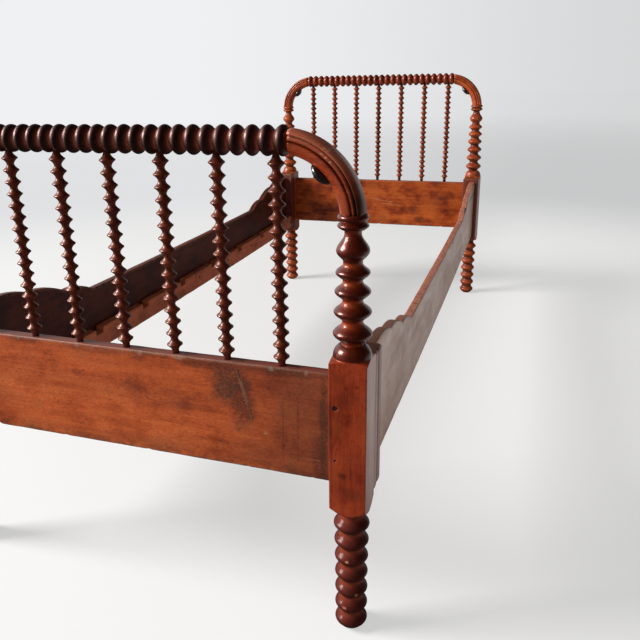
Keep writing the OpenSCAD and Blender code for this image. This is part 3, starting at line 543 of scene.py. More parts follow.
def near_post_marks(wood, look):
    """The scratches and spots on the near post's block, and the bare specks on
    its leg."""
    dull_leg(wood, look)
    # The block's right face takes dust and a painted sheen.
    place = dust_and_sheen_outside(wood, look, POST_SIDE, 0.0009, POST_DUST_AND_SHEEN, 0.9, (60, 150, 5))
    front = 1 - wood.along(place, AHEAD, (0, NEAR_POST_FACE, 0)).above(0.004, 0.012)
    fine = wood.noise(place, 500.0, 3, 0.6)
    open_face = front * (1 - look["groove"]).clamped()
    on_block = wood.along(place, UP).above(0.225, 0.228) * open_face
    grainy = wood.streaks(place, (420, 420, 150), 4, 0.7)
    stain(wood, look, grainy.above(0.5, 0.7) * on_block * 0.5, DARK_STAIN, relief=-0.2)
    stain(wood, look, (1 - grainy).above(0.56, 0.72) * on_block * 0.25, ORANGE_TINT)
    for x, z, width, height, share, colour in (
        (0.3595, 0.402, 0.006, 0.0055, 0.35, BROWN_WORN), (0.3595, 0.316, 0.0035, 0.0035, 0.4, BROWN_WORN),
        (0.376, 0.436, 0.004, 0.003, 0.45, GRIME_AND_SHADE), (0.392, 0.44, 0.0035, 0.0025, 0.45, GRIME_AND_SHADE),
        (0.37, 0.292, 0.008, 0.006, 0.6, GRIME_AND_SHADE), (0.403, 0.37, 0.005, 0.05, 0.3, ORANGE_TINT),
        (0.362, 0.37, 0.01, 0.02, 0.2, ORANGE_TINT), (0.353, 0.34, 0.003, 0.12, 0.4, DARK_STAIN),
        (0.385, 0.262, 0.03, 0.012, 0.3, DARK_STAIN), (0.38, 0.42, 0.02, 0.012, 0.25, DARK_STAIN),
        (0.366, 0.45, 0.012, 0.008, 0.25, DARK_STAIN), (0.39, 0.32, 0.012, 0.025, 0.2, DARK_STAIN),
        (0.362, 0.3, 0.012, 0.03, 0.15, ORANGE_TINT),
        (0.377, 0.1375, 0.003, 0.002, 0.8, BARE_WOOD), (0.392, 0.075, 0.0025, 0.003, 0.8, BARE_WOOD),
        (0.373, 0.0476, 0.004, 0.002, 0.6, BARE_WOOD),
    ):
        patch = wood.patch(place, (x, NEAR_POST_FACE, z), (width, 0.02, height), fine, 0.9)
        stain(wood, look, patch * open_face * share, colour, relief=-0.3)
    for x, top, low in (
        (0.3815, 0.466, 0.44), (0.387, 0.458, 0.425), (0.3945, 0.462, 0.43), (0.372, 0.45, 0.42),
    ):
        start, stop = (x, NEAR_POST_FACE, top), (x + 0.002, NEAR_POST_FACE, low)
        mark = wood.scratch(place, start, stop, 0.0009, fine)
        stain(wood, look, mark * front * 0.35, DARK_STAIN, relief=-0.4)


def foot_arch_marks(wood, look):
    """The foot end's arches: the outer band painted lighter at the top, a painted light, and near-black at
    the foot, a painted shade, the inner band darker towards the foot, and bare specks.
    """
    place = wood.place()
    fine = wood.noise(place, 420.0, 3, 0.6)
    height = wood.along(place, UP)
    streaks = wood.streaks(wood.attribute("grain", "Vector"), (9, 330, 330), 4, 0.7)
    low = 1 - height.above(0.695, 0.735)
    # The outer band is lighter at the top, a painted light, and near-black at the foot, a painted shade; the
    # inner band is darker towards the foot.
    stain(wood, look, height.above(0.72, 0.765) * look["old"] * (streaks * 1.1 + 0.1), ARCH_TOP_LIGHT)
    stain(wood, look, streaks.above(0.52, 0.64) * 0.45, DARK_STAIN)
    stain(wood, look, low * (1 - look["old"]) * 0.4, DARK_STAIN)
    stain(wood, look, low * look["old"] * 0.9, ARCH_FOOT_SHADE)
    look["gloss"] = look["gloss"] * (1 - low * look["old"] * 0.9)
    for x, z, width, height in (
        (0.343, 0.7695, 0.0028, 0.0018), (0.3485, 0.767, 0.0026, 0.002), (0.3385, 0.7625, 0.0025, 0.0018),
        (0.3445, 0.758, 0.0026, 0.0022), (0.3505, 0.7515, 0.0022, 0.002),
    ):
        patch = wood.patch(place, (x, -0.955, z), (width, 0.012, height), fine, 1.0)
        stain(wood, look, patch * 0.6, BARE_WOOD, relief=-0.5)


def side_rail_marks(wood, look):
    """The right rail's top edges painted paler, a painted light on the faces
    that point up, and on its outer face dust with a painted sheen, the crack
    and dark spots."""
    place = dust_and_sheen_outside(wood, look, RAIL_FACE, 0.003, RAIL_DUST_AND_SHEEN, 0.95, (60, 9, 20))
    outer = wood.along(place, ACROSS, (RAIL_FACE, 0, 0)).above(-0.006, -0.003)
    fine = wood.noise(place, 160.0, 3, 0.6)
    upward = wood.add("ShaderNodeNewGeometry", output="Normal")
    outer_half = wood.along(place, ACROSS).above(0, 0.1)
    lit_top_edge = wood.along(upward, UP).above(0.5, 0.9)
    # Paler on the faces that point up, a painted light, dimmer over the foot lobes.
    stain(wood, look, lit_top_edge * outer_half * fine.above(0.2, 0.6) * 0.85, RAIL_TOP_LIGHT)
    near_lobes = 1 - wood.along(place, AHEAD).above(-0.66, -0.4)
    stain(wood, look, lit_top_edge * outer_half * near_lobes * 0.8, LOBE_TOP_LIGHT)
    start, stop = (RAIL_FACE, 0.176, 0.388), (RAIL_FACE, 0.193, 0.292)
    crack = wood.scratch(place, start, stop, 0.0032, fine, ACROSS)
    stain(wood, look, crack * outer * 0.9, GRIME_AND_SHADE, relief=-1.0)
    for y, z, length, height, share in (
        (0.573, 0.405, 0.03, 0.012, 0.95), (0.747, 0.42, 0.13, 0.008, 0.6), (0.05, 0.33, 0.2, 0.009, 0.2),
        (0.35, 0.3, 0.26, 0.008, 0.2), (-0.35, 0.34, 0.3, 0.009, 0.2), (-0.5, 0.29, 0.25, 0.008, 0.2),
        (0.3, 0.37, 0.16, 0.008, 0.2), (-0.62, 0.38, 0.09, 0.012, 0.25), (-0.2, 0.27, 0.2, 0.008, 0.2),
    ):
        patch = wood.patch(place, (RAIL_FACE, y, z), (1, length, height), fine, 0.8)
        stain(wood, look, patch * outer * share, GRIME_AND_SHADE)


def head_board_marks(wood, look):
    """The scratches and the dark patches on the head board's inner face."""
    place = wood.place()
    fine = wood.noise(place, 160.0, 4, 0.6)
    inner = 1 - wood.along(place, AHEAD, (0, HEAD_BOARD_FACE, 0)).above(0.002, 0.004)
    for x, z, width, height, share in ((0.15, 0.33, 0.022, 0.02, 0.5), (0.175, 0.295, 0.02, 0.016, 0.5),
                                       (-0.12, 0.33, 0.1, 0.03, 0.3), (0.26, 0.38, 0.05, 0.03, 0.25)):
        patch = wood.patch(place, (x, HEAD_BOARD_FACE, z), (width, 1, height), fine)
        stain(wood, look, patch * inner * share, DARK_STAIN)
    for x0, z0, x1, z1 in ((-0.027, 0.373, 0.065, 0.36), (0.02, 0.355, 0.1, 0.347)):
        start, stop = (x0, HEAD_BOARD_FACE, z0), (x1, HEAD_BOARD_FACE, z1)
        mark = wood.scratch(place, start, stop, 0.0014, fine)
        stain(wood, look, mark * inner * 0.55, BARE_WOOD)


def end_block_marks(wood, look):
    """The reeded outer faces of the right end blocks, with dust and a painted sheen."""
    dust_and_sheen_outside(wood, look, POST_SIDE, 0.003, BLOCK_DUST_AND_SHEEN, 0.9, (60, 150, 5))


def button_finish():
    """Black lacquer on turned wood, hazed with dust in patches."""
    lacquer = Finish("button_lacquer")
    place = lacquer.attribute("grain", "Vector")
    haze = lacquer.noise(place, 90.0, 4)
    colour = lacquer.mixed((0.006, 0.005, 0.005), (0.035, 0.026, 0.022), haze.above(0.45, 0.8))
    return lacquer.surfaced({
        "Base Color": colour,
        "Roughness": haze * 0.2 + 0.12,
        "Normal": lacquer.bumpy(haze, 0.1, 0.5 * MM),
        "Coat Weight": 0.6,
        "Coat Roughness": 0.06,
    })


def iron_finish():
    """Old blackened iron with brown rust in patches."""
    iron = Finish("old_iron")
    place = iron.place()
    patch = iron.noise(place, 160.0, 5, 0.65)
    pitting = iron.noise(place, 900.0, 3, 0.6)
    rust = patch.above(0.46, 0.62)
    colour = iron.mixed((0.045, 0.042, 0.04), (0.11, 0.045, 0.022), rust)
    return iron.surfaced({
        "Base Color": colour,
        "Metallic": 0.85 - rust * 0.7,
        "Roughness": rust * 0.35 + pitting * 0.2 + 0.36,
        "Normal": iron.bumpy(pitting, 0.4, 0.4 * MM),
    })


# ---- meshes --------------------------------------------------------------------


def stand_in(node, name, rows, finish, seed, along=2, edge=None, groove=None, aged=None):
    """Lets a mesh piece stand for a CAD node. Its rows of points close round,
    and its first and last row are closed by a face. along is the axis that the
    grain follows. edge, groove and aged are per point, from 0 to 1."""
    rows = np.asarray(rows, float)
    count, width = rows.shape[:2]
    points = rows.reshape(-1, 3)
    faces = []
    for i in range(count - 1):
        for j in range(width):
            k = (j + 1) % width
            faces.append((i * width + j, i * width + k, (i + 1) * width + k, (i + 1) * width + j))
    faces.append(tuple(range(width - 1, -1, -1)))
    faces.append(tuple((count - 1) * width + j for j in range(width)))
    mesh = bpy.data.meshes.new(name)
    mesh.from_pydata(points.tolist(), [], faces)
    mesh.validate()
    write_grain(mesh, points, along, seed)
    for key, values in (("edge", edge), ("groove", groove), ("aged", aged)):
        write_value(mesh, key, values, len(points))
    piece = bpy.data.objects.new(name, mesh)
    bpy.context.scene.collection.objects.link(piece)
    face_outward(mesh)
    mesh.shade_smooth()
    mesh.materials.append(finish)
    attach(piece, "root")
    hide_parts(node)


def write_grain(mesh, points, along, seed):
    """Where each point lies along and across the grain of its own board."""
    order = {0: (0, 1, 2), 1: (1, 0, 2), 2: (2, 0, 1)}[along]
    shift = np.array([0.37, 0.71, 0.53]) * (seed + 1)
    grain = mesh.attributes.new("grain", "FLOAT_VECTOR", "POINT")
    grain.data.foreach_set("vector", (points[:, order] + shift).astype(np.float32).ravel())


def write_value(mesh, name, values, count):
    values = np.zeros(count) if values is None else np.asarray(values, float).reshape(-1)
    mesh.attributes.new(name, "FLOAT", "POINT").data.foreach_set("value", values.astype(np.float32))


def face_outward(mesh):
    """Turns every face outwards, going by the enclosed volume's sign."""
    volume = sum(signed_volume(mesh, face) for face in mesh.polygons)
    if volume < 0:
        mesh.flip_normals()


def signed_volume(mesh, face):
    corners = [mesh.vertices[i].co for i in face.vertices]
    return sum(corners[0].dot(corners[i].cross(corners[i + 1])) for i in range(1, len(corners) - 1))


def finish_of(end, kind):
    """The finish of one kind of piece at the foot or the head end."""
    return FINISHES[kind if end == "foot" else f"head_{kind}"]


# ---- turned profiles -----------------------------------------------------------


def ring(mid, half, neck, crest, shape, steps=16):
    """One turned ring as (radius, height, groove) points."""
    turned = []
    for i in range(steps + 1):
        t = 2 * i / steps - 1
        swell = max(math.cos(math.pi / 2 * t), 0) ** shape
        turned.append((neck + (crest - neck) * swell, mid + half * t, 1 - swell))
    return turned


def ring_row(low, high, count, groove, necks, crests, taper, shape, crowd=0.0):
    """A row of rings between two heights, the lower ones a little taller."""
    turned = []

    def place(u):
        return low + (high - low) * (u + crowd * u * (1 - u))

    for k in range(count):
        start, stop = place(k / count), place((k + 1) / count)
        u = (k / (count - 1)) ** taper
        neck = necks[0] + (necks[1] - necks[0]) * u
        crest = crests[0] + (crests[1] - crests[0]) * u
        turned += ring((start + stop) / 2, (stop - start - groove) / 2, neck, crest, shape)
    return turned


def quarter_round(r0, z0, r1, z1, steps=10):
    """Quarter round from a narrow radius out to a wide one."""
    turned = []
    for i in range(steps + 1):
        a = math.pi / 2 * i / steps
        turned.append((r0 + (r1 - r0) * math.sin(a), z0 + (z1 - z0) * (1 - math.cos(a)),
                       0.6 * (1 - i / steps)))
    return turned


def dome(r0, z0, r1, z1, steps=16):
    """Dome from a wide radius in to a narrower one."""
    turned = []
    for i in range(steps + 1):
        a = math.pi / 2 * i / steps
        turned.append((r1 + (r0 - r1) * math.cos(a), z0 + (z1 - z0) * math.sin(a), (i / steps) ** 6))
    return turned


def cyma(r0, z0, r1, z1, belly=1.0, steps=16):
    """S curve between two radii, level at both ends."""
    turned = []
    for i in range(steps + 1):
        u = i / steps
        lean = 0.5 + 0.5 * math.cos(math.pi * u ** belly)
        turned.append((r1 + (r0 - r1) * lean, z0 + (z1 - z0) * u))
    thick = max(r0, r1)
    return [(r, z, max(0, 1 - r / thick) * 1.4) for r, z in turned]


def leg_profile():
    """Radius of a leg from the floor to the shoulder under the block."""
    shoulder = BLOCK_LOW - LOWER_CUT - LEG_SHOULDER
    top = shoulder - LEG_NECK_LENGTH
    rings = ring_row(0, top, LEG_RINGS, POST_GROOVE, (LEG_NECK,) * 2, (LEG_CREST_LOW, LEG_CREST_HIGH), 3, 2)
    turned = [(TIP, 0, 0), (13 * MM, 0, 0.3), (14 * MM, 0.8 * MM, 0.5)]
    turned += [point for point in rings if point[1] > 1.2 * MM and (point[1] > 12 * MM or point[0] > 18 * MM)]
    turned += [(LEG_NECK, shoulder, 0.9)]
    return turned + quarter_round(LEG_NECK, shoulder, BLOCK_HALF, shoulder + LEG_SHOULDER)


def block_profile():
    """Radius of the cones that cut the block's corners, and of the turned
    surface far outside them."""
    wide = BLOCK_HALF * 1.45
    turned = straight((BLOCK_HALF, BLOCK_LOW - LOWER_CUT), (wide, BLOCK_LOW), 16)[1:]
    turned += straight((wide, BLOCK_LOW + 0.6 * MM), (wide, NAIL_HEIGHT - 5 * MM), 12)
    turned += straight((wide, NAIL_HEIGHT - 4 * MM), (wide, NAIL_HEIGHT + 4 * MM), 22)
    turned += straight((wide, NAIL_HEIGHT + 8 * MM), (wide, PEG_HEIGHT - 9 * MM), 20)
    turned += straight((wide, PEG_HEIGHT - 6.5 * MM), (wide, PEG_HEIGHT + 6.5 * MM), 34)
    turned += straight((wide, PEG_HEIGHT + 11 * MM), (wide, BLOCK_HIGH - 0.6 * MM), 12)
    return turned + straight((wide, BLOCK_HIGH), (BLOCK_HALF, BLOCK_HIGH + UPPER_CUT), 12)


def vase_profile(seat):
    """Radius of the vase and its collars, up to the arch."""
    foot = seat - VASE_ZONE
    widest = foot + VASE_FOOT + VASE_LOW
    groove = seat - COLLAR_HIGH
    rim = COLLAR_R - COLLAR_STEP
    turned = [(POST_NECK_HIGH, foot + 0.5 * MM, 1)]
    turned += cyma(POST_NECK_HIGH, foot + VASE_FOOT, VASE_R, widest, VASE_BELLY)
    turned += cyma(VASE_R, widest, VASE_NECK, widest + VASE_HIGH)[1:]
    turned += [(VASE_NECK, groove - COLLAR_LOW, 0.9)]
    turned += ring(groove - COLLAR_LOW / 2, (COLLAR_LOW - POST_GROOVE) / 2, COLLAR_GROOVE, COLLAR_R, 1)
    turned += quarter_round(COLLAR_GROOVE, groove, rim, groove + COLLAR_HIGH / 2)
    turned += [(rim, groove + COLLAR_HIGH * 0.75, 0), (rim - COLLAR_HIGH / 4, seat, 0.6)]
    return turned + [(TIP, seat, 0)]


def post_profile(end, seat):
    """Radius of a post from the floor to the arch, with its block's cones."""
    dome_foot = BLOCK_HIGH + UPPER_CUT
    turned = leg_profile() + block_profile()
    turned += dome(BLOCK_HALF, dome_foot, POST_NECK_LOW, dome_foot + DOME)[1:]
    turned += ring_row(dome_foot + DOME, seat - VASE_ZONE, POST_RINGS[end], POST_GROOVE,
                       (POST_NECK_LOW, POST_NECK_HIGH), (POST_CREST_LOW, POST_CREST_HIGH), 1, 2, RING_CROWD)
    return turned + vase_profile(seat)


def straight(start, stop, steps):
    """Evenly spaced profile points along a cone or cylinder."""
    return [
        (start[0] + (stop[0] - start[0]) * i / steps, start[1] + (stop[1] - start[1]) * i / steps, 0)
        for i in range(steps + 1)
    ]


# ---- posts -----------------------------------------------------------------------


def post_angles(hole_turn):
    """Angles round a post, close together at the block's four corners and
    round the peg's and the nail's holes."""
    fine = [40, 42, 43.4, 44.4, 45, 45.6, 46.6, 48]
    one = set(range(0, 90, 5)) | set(fine)
    turns = {(a + 90 * q) % 360 for q in range(4) for a in one}
    turns = {a for a in turns if abs((a - hole_turn + 180) % 360 - 180) > 9.5}
    turns |= {round((hole_turn - 9 + 0.5 * i) % 360, 3) for i in range(37)}
    return np.radians(sorted(turns))


def hole_depth(aside, height, middle, radius, rough, seed):
    """How deep a drilled hole is at a place on the block's face, with a torn rim."""
    off = math.hypot(aside - PEG_ASIDE, height - middle)
    torn = radius * (1 + rough * noise.noise(Vector((aside * 900, height * 900, seed))))
    return 6 * MM * min(1, max(0, (torn + 0.3 * MM - off) / (0.6 * MM)))


def dent_depth(aside, height):
    """How deep the near block's old knock is at a place on its face."""
    off = math.hypot((aside - 19 * MM) / (3.5 * MM), (height - 340 * MM) / (2.6 * MM))
    return 0.9 * MM * max(0, 1 - off ** 2)


def softly_least(a, b, blend):
    """The smaller of two lengths, rounded over where they meet."""
    low, high = np.minimum(a, b), np.maximum(a, b)
    return low - blend * np.log1p(np.exp(-(high - low) / blend))


def build_post(end, side, seed):
    """A turned post with its square block, from the floor to the arch."""
    node = f"{end}_post_{side}"
    nearest = (end, side) == ("foot", "right")
    centre = axis_of(node)
    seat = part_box(f"{end}_arch_{side}")[0].z
    inward = -1 if side == "right" else 1
    facing = -1 if end == "foot" else 1
    hole_turn = math.degrees(math.atan2(facing * BLOCK_HALF, inward * PEG_ASIDE)) % 360
    angles = post_angles(hole_turn)
    cos, sin = np.cos(angles), np.sin(angles)
    square = BLOCK_HALF / (np.abs(cos) ** SQUARENESS + np.abs(sin) ** SQUARENESS) ** (1 / SQUARENESS)
    rows, edge, groove, aged = [], [], [], []
    for radius, height, deep in post_profile(end, seat):
        among = BLOCK_LOW - LOWER_CUT - HAIR < height < BLOCK_HIGH + UPPER_CUT + HAIR
        in_block = among and radius >= BLOCK_HALF - HAIR
        reach = softly_least(radius, square, 0.35 * MM) if in_block else np.full(len(angles), radius)
        wobble = [0.18 * MM * noise.noise(Vector((c * 2 + seed, s * 2, height * 60)))
                  for c, s in zip(cos, sin)]
        reach = np.minimum(reach + (0 if in_block else np.array(wobble)), square)
        row = np.stack([centre.x + reach * cos, centre.y + reach * sin, np.full(len(angles), height)], 1)
        deep_row = np.full(len(angles), deep)
        if in_block:
            corner = np.clip((reach - 1.3 * BLOCK_HALF) / (0.1 * BLOCK_HALF), 0, 1)
            cut = np.exp(-((reach - np.minimum(radius, square * 1.02)) / (1.2 * MM)) ** 2)
            edge.append(np.clip(corner + 0.6 * cut * (radius < square), 0, 1))
            deep_row *= 0
            for index in range(len(angles)):
                if facing * sin[index] < 0.5 or radius < 1.4 * BLOCK_HALF:
                    continue
                aside = inward * reach[index] * cos[index]
                depth = max(hole_depth(aside, height, PEG_HEIGHT, PEG_R, 0.12, seed),
                            hole_depth(aside, height, NAIL_HEIGHT, NAIL_R, 0.1, seed))
                rim = hole_depth(aside, height, PEG_HEIGHT, PEG_R * 1.35, 0.5, seed + 9) / (6 * MM)
                knock = dent_depth(aside, height) if nearest else 0
                row[index, 1] -= facing * max(depth, rim * 0.5 * MM, knock)
                deep_row[index] = min(1, depth / (2 * MM) + 0.5 * rim + knock / MM * 0.5)
        else:
            edge.append(np.full(len(angles), max(0, 1 - 1.6 * deep)))
        rows.append(row)
        groove.append(deep_row)
        aged.append(np.full(len(angles), 0.0 if in_block else 1.0))
    finish = FINISHES["near_post"] if nearest else finish_of(end, "post")
    stand_in(node, f"{end}_{side}_turned_post", rows, finish, seed,
             edge=edge, groove=groove, aged=aged)


# ---- arches and buttons ----------------------------------------------------------


def arch_section():
    """The arch's section as (towards the outside, across, groove, rubbed) points."""
    low = ARCH_HALF_W - ARCH_GROOVE_D
    outer_top = ARCH_BEAD_AT + ARCH_BEAD + ARCH_GROOVE_W + ARCH_EDGE
    inner_top = ARCH_BEAD_AT - ARCH_BEAD - ARCH_GROOVE_W - ARCH_EDGE
    half = []
    for i in range(1, 13):
        a = math.pi / 2 * i / 12
        rubbed = max(0, 1 - 3 * (1 - math.sin(a)))
        half.append((outer_top + (ARCH_HALF_T - outer_top) * math.cos(a),
                     ARCH_HALF_W * math.sin(a) ** ARCH_OUTER_SHAPE, 0, rubbed))
    for i in range(1, 7):
        a = math.pi / 2 * (1 + i / 6)
        half.append((outer_top + ARCH_EDGE * math.cos(a), low + ARCH_GROOVE_D * math.sin(a),
                     i / 6, 1 - i / 6))
    for i in range(11):
        a = math.pi * i / 10
        half.append((ARCH_BEAD_AT + ARCH_BEAD * math.cos(a), low + ARCH_BEAD_H * math.sin(a),
                     abs(math.cos(a)) ** 3, max(0, math.sin(a) - 0.6) * 2.5))
    for i in range(6, 0, -1):
        a = math.pi / 2 * (1 + i / 6)
        half.append((inner_top - ARCH_EDGE * math.cos(a), low + ARCH_GROOVE_D * math.sin(a),
                     i / 6, 1 - i / 6))
    for i in range(12, 0, -1):
        a = math.pi / 2 * i / 12
        rubbed = max(0, 1 - 4 * (1 - math.sin(a)))
        half.append((inner_top - (ARCH_HALF_T + inner_top) * math.cos(a),
                     ARCH_HALF_W * math.sin(a), 0, rubbed))
    return half + [(x, -y, g, e) for x, y, g, e in reversed(half)]


def build_arch(end, side, seed):
    """A moulded quarter arch, cut level on its post and upright at the rail."""
    node = f"{end}_arch_{side}"
    centre = axis_of(f"{end}_post_{side}")
    inward = -1 if side == "right" else 1
    low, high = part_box(node)
    joint = abs((high.x if inward > 0 else low.x) - centre.x)
    start = math.asin(ARCH_FOOT / ARCH_R)
    stop = math.acos((ARCH_R - joint) / ARCH_R)
    section = arch_section()
    rows, edge, groove, aged = [], [], [], []
    for i in range(ARCH_STATIONS + 1):
        turn = start + (stop - start) * i / ARCH_STATIONS
        row = []
        for out, across, _, _ in section:
            r = ARCH_R + out
            aside, rise = ARCH_R - r * math.cos(turn), r * math.sin(turn)
            if i == 0:
                aside, rise = ARCH_R - math.sqrt(r * r - ARCH_FOOT ** 2), ARCH_FOOT
            if i == ARCH_STATIONS:
                aside, rise = joint, math.sqrt(r * r - (ARCH_R - joint) ** 2)
            row.append((centre.x + inward * aside, centre.y + across, low.z - ARCH_FOOT + rise))
        rows.append(row)
        edge.append([rubbed for _, _, _, rubbed in section])
        groove.append([deep for _, _, deep, _ in section])
        aged.append([min(1, max(0, (out - ARCH_BEAD_AT) / (4 * MM) + 0.6)) for out, _, _, _ in section])
    stand_in(node, f"{end}_{side}_moulded_arch", rows, finish_of(end, "arch"), seed, 0,
             edge=edge, groove=groove, aged=aged)


def build_button(end, side, seed):
    """The black button seated under the middle of an arch."""
    node = f"{end}_button_{side}"
    centre = axis_of(f"{end}_post_{side}")
    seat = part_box(f"{end}_arch_{side}")[0].z
    inward = -1 if side == "right" else 1
    middle = Vector((centre.x + inward * ARCH_R, centre.y, seat - ARCH_FOOT))
    outward = Vector((-inward, 0, 1)).normalized()
    profile = [(0.1 * MM, 0)]
    profile += [(r, z) for r, z, _ in quarter_round(3 * MM, 0, BUTTON_R - 5 * MM, 4 * MM, 10)]
    profile += [(r, z) for r, z, _ in quarter_round(BUTTON_R - 4.2 * MM, 4.8 * MM, BUTTON_R, 8.5 * MM, 8)]
    profile += [(BUTTON_R, BUTTON_H - 2 * MM), (BUTTON_R - 2 * MM, BUTTON_H), (0.1 * MM, BUTTON_H)]
    side_a = Vector((0, 1, 0))
    side_b = outward.cross(side_a)
    rows = []
    for r, z in profile:
        base = middle + outward * (BUTTON_SEAT - BUTTON_H + z)
        rows.append([
            base + side_a * (r * math.cos(a)) + side_b * (r * math.sin(a))
            for a in np.linspace(0, 2 * math.pi, BUTTON_ROUND, endpoint=False)
        ])
    stand_in(node, f"{end}_{side}_turned_button", rows, FINISHES["button"], seed)


# ---- top rails and spindles ------------------------------------------------------


def build_top_rail(end, seed):
    """The ring-turned rail between the two arches of an end."""
    node = f"{end}_top_rail"
    low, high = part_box(node)
    centre = Vector((0, (low.y + high.y) / 2, (low.z + high.z) / 2))
    half = abs(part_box(f"{end}_arch_right")[0].x)
    profile = [(TIP, -half, 0), (RAIL_NECK, -half, 1)]
    profile += ring_row(-half, half, RAIL_RINGS, RAIL_GROOVE, (RAIL_NECK,) * 2, (RAIL_CREST,) * 2, 1, 1)
    profile += [(RAIL_NECK, half, 1), (TIP, half, 0)]
    angles = np.linspace(0, 2 * math.pi, RAIL_ROUND, endpoint=False)
    rows, edge, groove, aged = [], [], [], []
    for radius, place, deep in profile:
        waver = [0.25 * MM * noise.noise(Vector((math.cos(a), math.sin(a), place * 45 + seed)))
                 for a in angles]
        reach = radius + np.array(waver)
        rows.append(np.stack([np.full(RAIL_ROUND, place), centre.y + reach * np.cos(angles),
                              centre.z + reach * np.sin(angles)], 1))
        edge.append(np.full(RAIL_ROUND, max(0, 1 - 2.2 * deep)))
        groove.append(np.full(RAIL_ROUND, deep))
        aged.append(np.ones(RAIL_ROUND))
    stand_in(node, f"{end}_ringed_top_rail", rows, finish_of(end, "top_rail"), seed, 0,
             edge=edge, groove=groove, aged=aged)


def spindle_profile(board_top, rail_axis, end):
    """Radius of a spindle from its hole in the board to its hole in the rail."""
    low = board_top + SPINDLE_FOOT[end]
    high = rail_axis - SPINDLE_TOP_GAP
    rings = SPINDLE_RINGS[end]
    pitch = (high - low) / rings
    start, stop = board_top - 4 * MM, rail_axis - 8 * MM
    turned = [(TIP, start, 1), (SPINDLE_NECK, start, 1), (SPINDLE_NECK, low, 0.9)]
    flank = (pitch - 2.4 * MM) / 2
    for k in range(rings):
        mid = low + pitch * (k + 0.5)
        for side in (-1, 1):
            for i in range(7):
                u = (i if side < 0 else 6 - i) / 6
                rise = u ** 1.7
                turned.append((SPINDLE_NECK + (SPINDLE_CREST - SPINDLE_NECK) * rise,
                               mid + side * (0.7 * MM + flank * (1 - u)), 1 - rise))
    return turned + [(SPINDLE_STUB, high + 0.5 * MM, 1), (SPINDLE_STUB, stop, 1), (TIP, stop, 1)]


def build_spindle(end, index, seed):
    """A ring-turned spindle, slightly uneven as turned by hand."""
    node = f"{end}_spindle_{index}"
    centre = axis_of(node)
    rail_low, rail_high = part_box(f"{end}_top_rail")
    profile = spindle_profile(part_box(f"{end}_board")[1].z, (rail_low.z + rail_high.z) / 2, end)
    angles = np.linspace(0, 2 * math.pi, SPINDLE_ROUND, endpoint=False)
    rows, edge, groove, aged = [], [], [], []
    for radius, height, deep in profile:
        drift = 0.35 * MM * noise.noise(Vector((seed * 3.1, height * 9, 0)))
        size = radius * (1 + 0.02 * noise.noise(Vector((seed, height * 55, 5))))
        rows.append(np.stack([centre.x + drift + size * np.cos(angles), centre.y + size * np.sin(angles),
                              np.full(SPINDLE_ROUND, height)], 1))
        edge.append(np.full(SPINDLE_ROUND, max(0, 1 - 1.5 * deep)))
        groove.append(np.full(SPINDLE_ROUND, deep))
        aged.append(np.ones(SPINDLE_ROUND))
    stand_in(node, f"{end}_turned_spindle_{index}", rows, finish_of(end, "spindle"), seed,
             edge=edge, groove=groove, aged=aged)


# ---- planks ----------------------------------------------------------------------


def rounded_outline(width, height, radius, steps=5, per_side=10):
    """Points round a rectangle with eased corners, and how near each is to one."""
    points = []
    arcs = [(1, 1, 0), (-1, 1, 90), (-1, -1, 180), (1, -1, 270)]
    for index, (sx, sy, start) in enumerate(arcs):
        cx, cy = sx * (width / 2 - radius), sy * (height / 2 - radius)
        for i in range(steps + 1):
            a = math.radians(start + 90 * i / steps)
            points.append((cx + radius * math.cos(a), cy + radius * math.sin(a), 1.0))
        nx, ny, _ = arcs[(index + 1) % 4]
        a = math.radians(start + 90)
        last = (cx + radius * math.cos(a), cy + radius * math.sin(a))
        first = (nx * (width / 2 - radius) + radius * math.cos(a),
                 ny * (height / 2 - radius) + radius * math.sin(a))
        for i in range(1, per_side):
            u = i / per_side
            near = max(0, 1 - min(u, 1 - u) * math.dist(last, first) / (9 * MM))
            points.append((last[0] + (first[0] - last[0]) * u, last[1] + (first[1] - last[1]) * u, near))
    return points


def build_board(end, seed):
    """An end board, cupped a little, with worn edges chipped along the bottom."""
    node = f"{end}_board"
    low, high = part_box(node)
    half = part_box(f"{end}_post_right")[0].x + 1 * MM
    thick, tall = high.y - low.y, high.z - low.z
    outline = rounded_outline(thick - 0.6 * MM, tall - 0.6 * MM, 2.6 * MM, per_side=22)
    mid_y, mid_z = (low.y + high.y) / 2, (low.z + high.z) / 2
    rows, edge = [], []
    for i in range(BOARD_STATIONS + 1):
        x = -half + 2 * half * i / BOARD_STATIONS
        row, rub = [], []
        for dy, dz, near in outline:
            chip = max(0, noise.noise(Vector((x * 55, seed * 7 + dz * 20, 3))) - 0.35) * 5.5 * MM
            lower = max(0, min(1, (-dz - tall / 2 + 9 * MM) / (8 * MM)))
            nick = chip * lower * near
            cup = 0.5 * MM * noise.noise(Vector((x * 4, dz * 6, seed)))
            worn = near * 0.45 * MM * (1 + noise.noise(Vector((x * 30, dz * 30, seed + 4))))
            shrink = 1 - (worn + nick * 0.6) / (thick / 2)
            row.append((x, mid_y + dy * shrink + cup * 0.4, mid_z + dz * (1 - worn / tall) + nick))
            rub.append(near)
        rows.append(row)
        edge.append(rub)
    stand_in(node, f"{end}_wide_board", rows, finish_of(end, "board"), seed, 0, edge=edge)


def lobe_top(distance):
    """Height of a side rail's top edge at a distance from the post's axis."""
    knots = [(a * MM, b * MM) for a, b in LOBES]
    if distance <= knots[0][0]:
        return knots[0][1]
    for index, (start, stop) in enumerate(zip(knots, knots[1:])):
        if distance <= stop[0]:
            u = (distance - start[0]) / (stop[0] - start[0])
            swell = (4 if index == 0 else 8) * MM
            run, fall = stop[0] - start[0], start[1] - stop[1]
            lean = swell * run / math.hypot(run, fall)
            return start[1] - fall * u + 4 * lean * 1.06 * u * (1 - u)
    return SIDE_MID


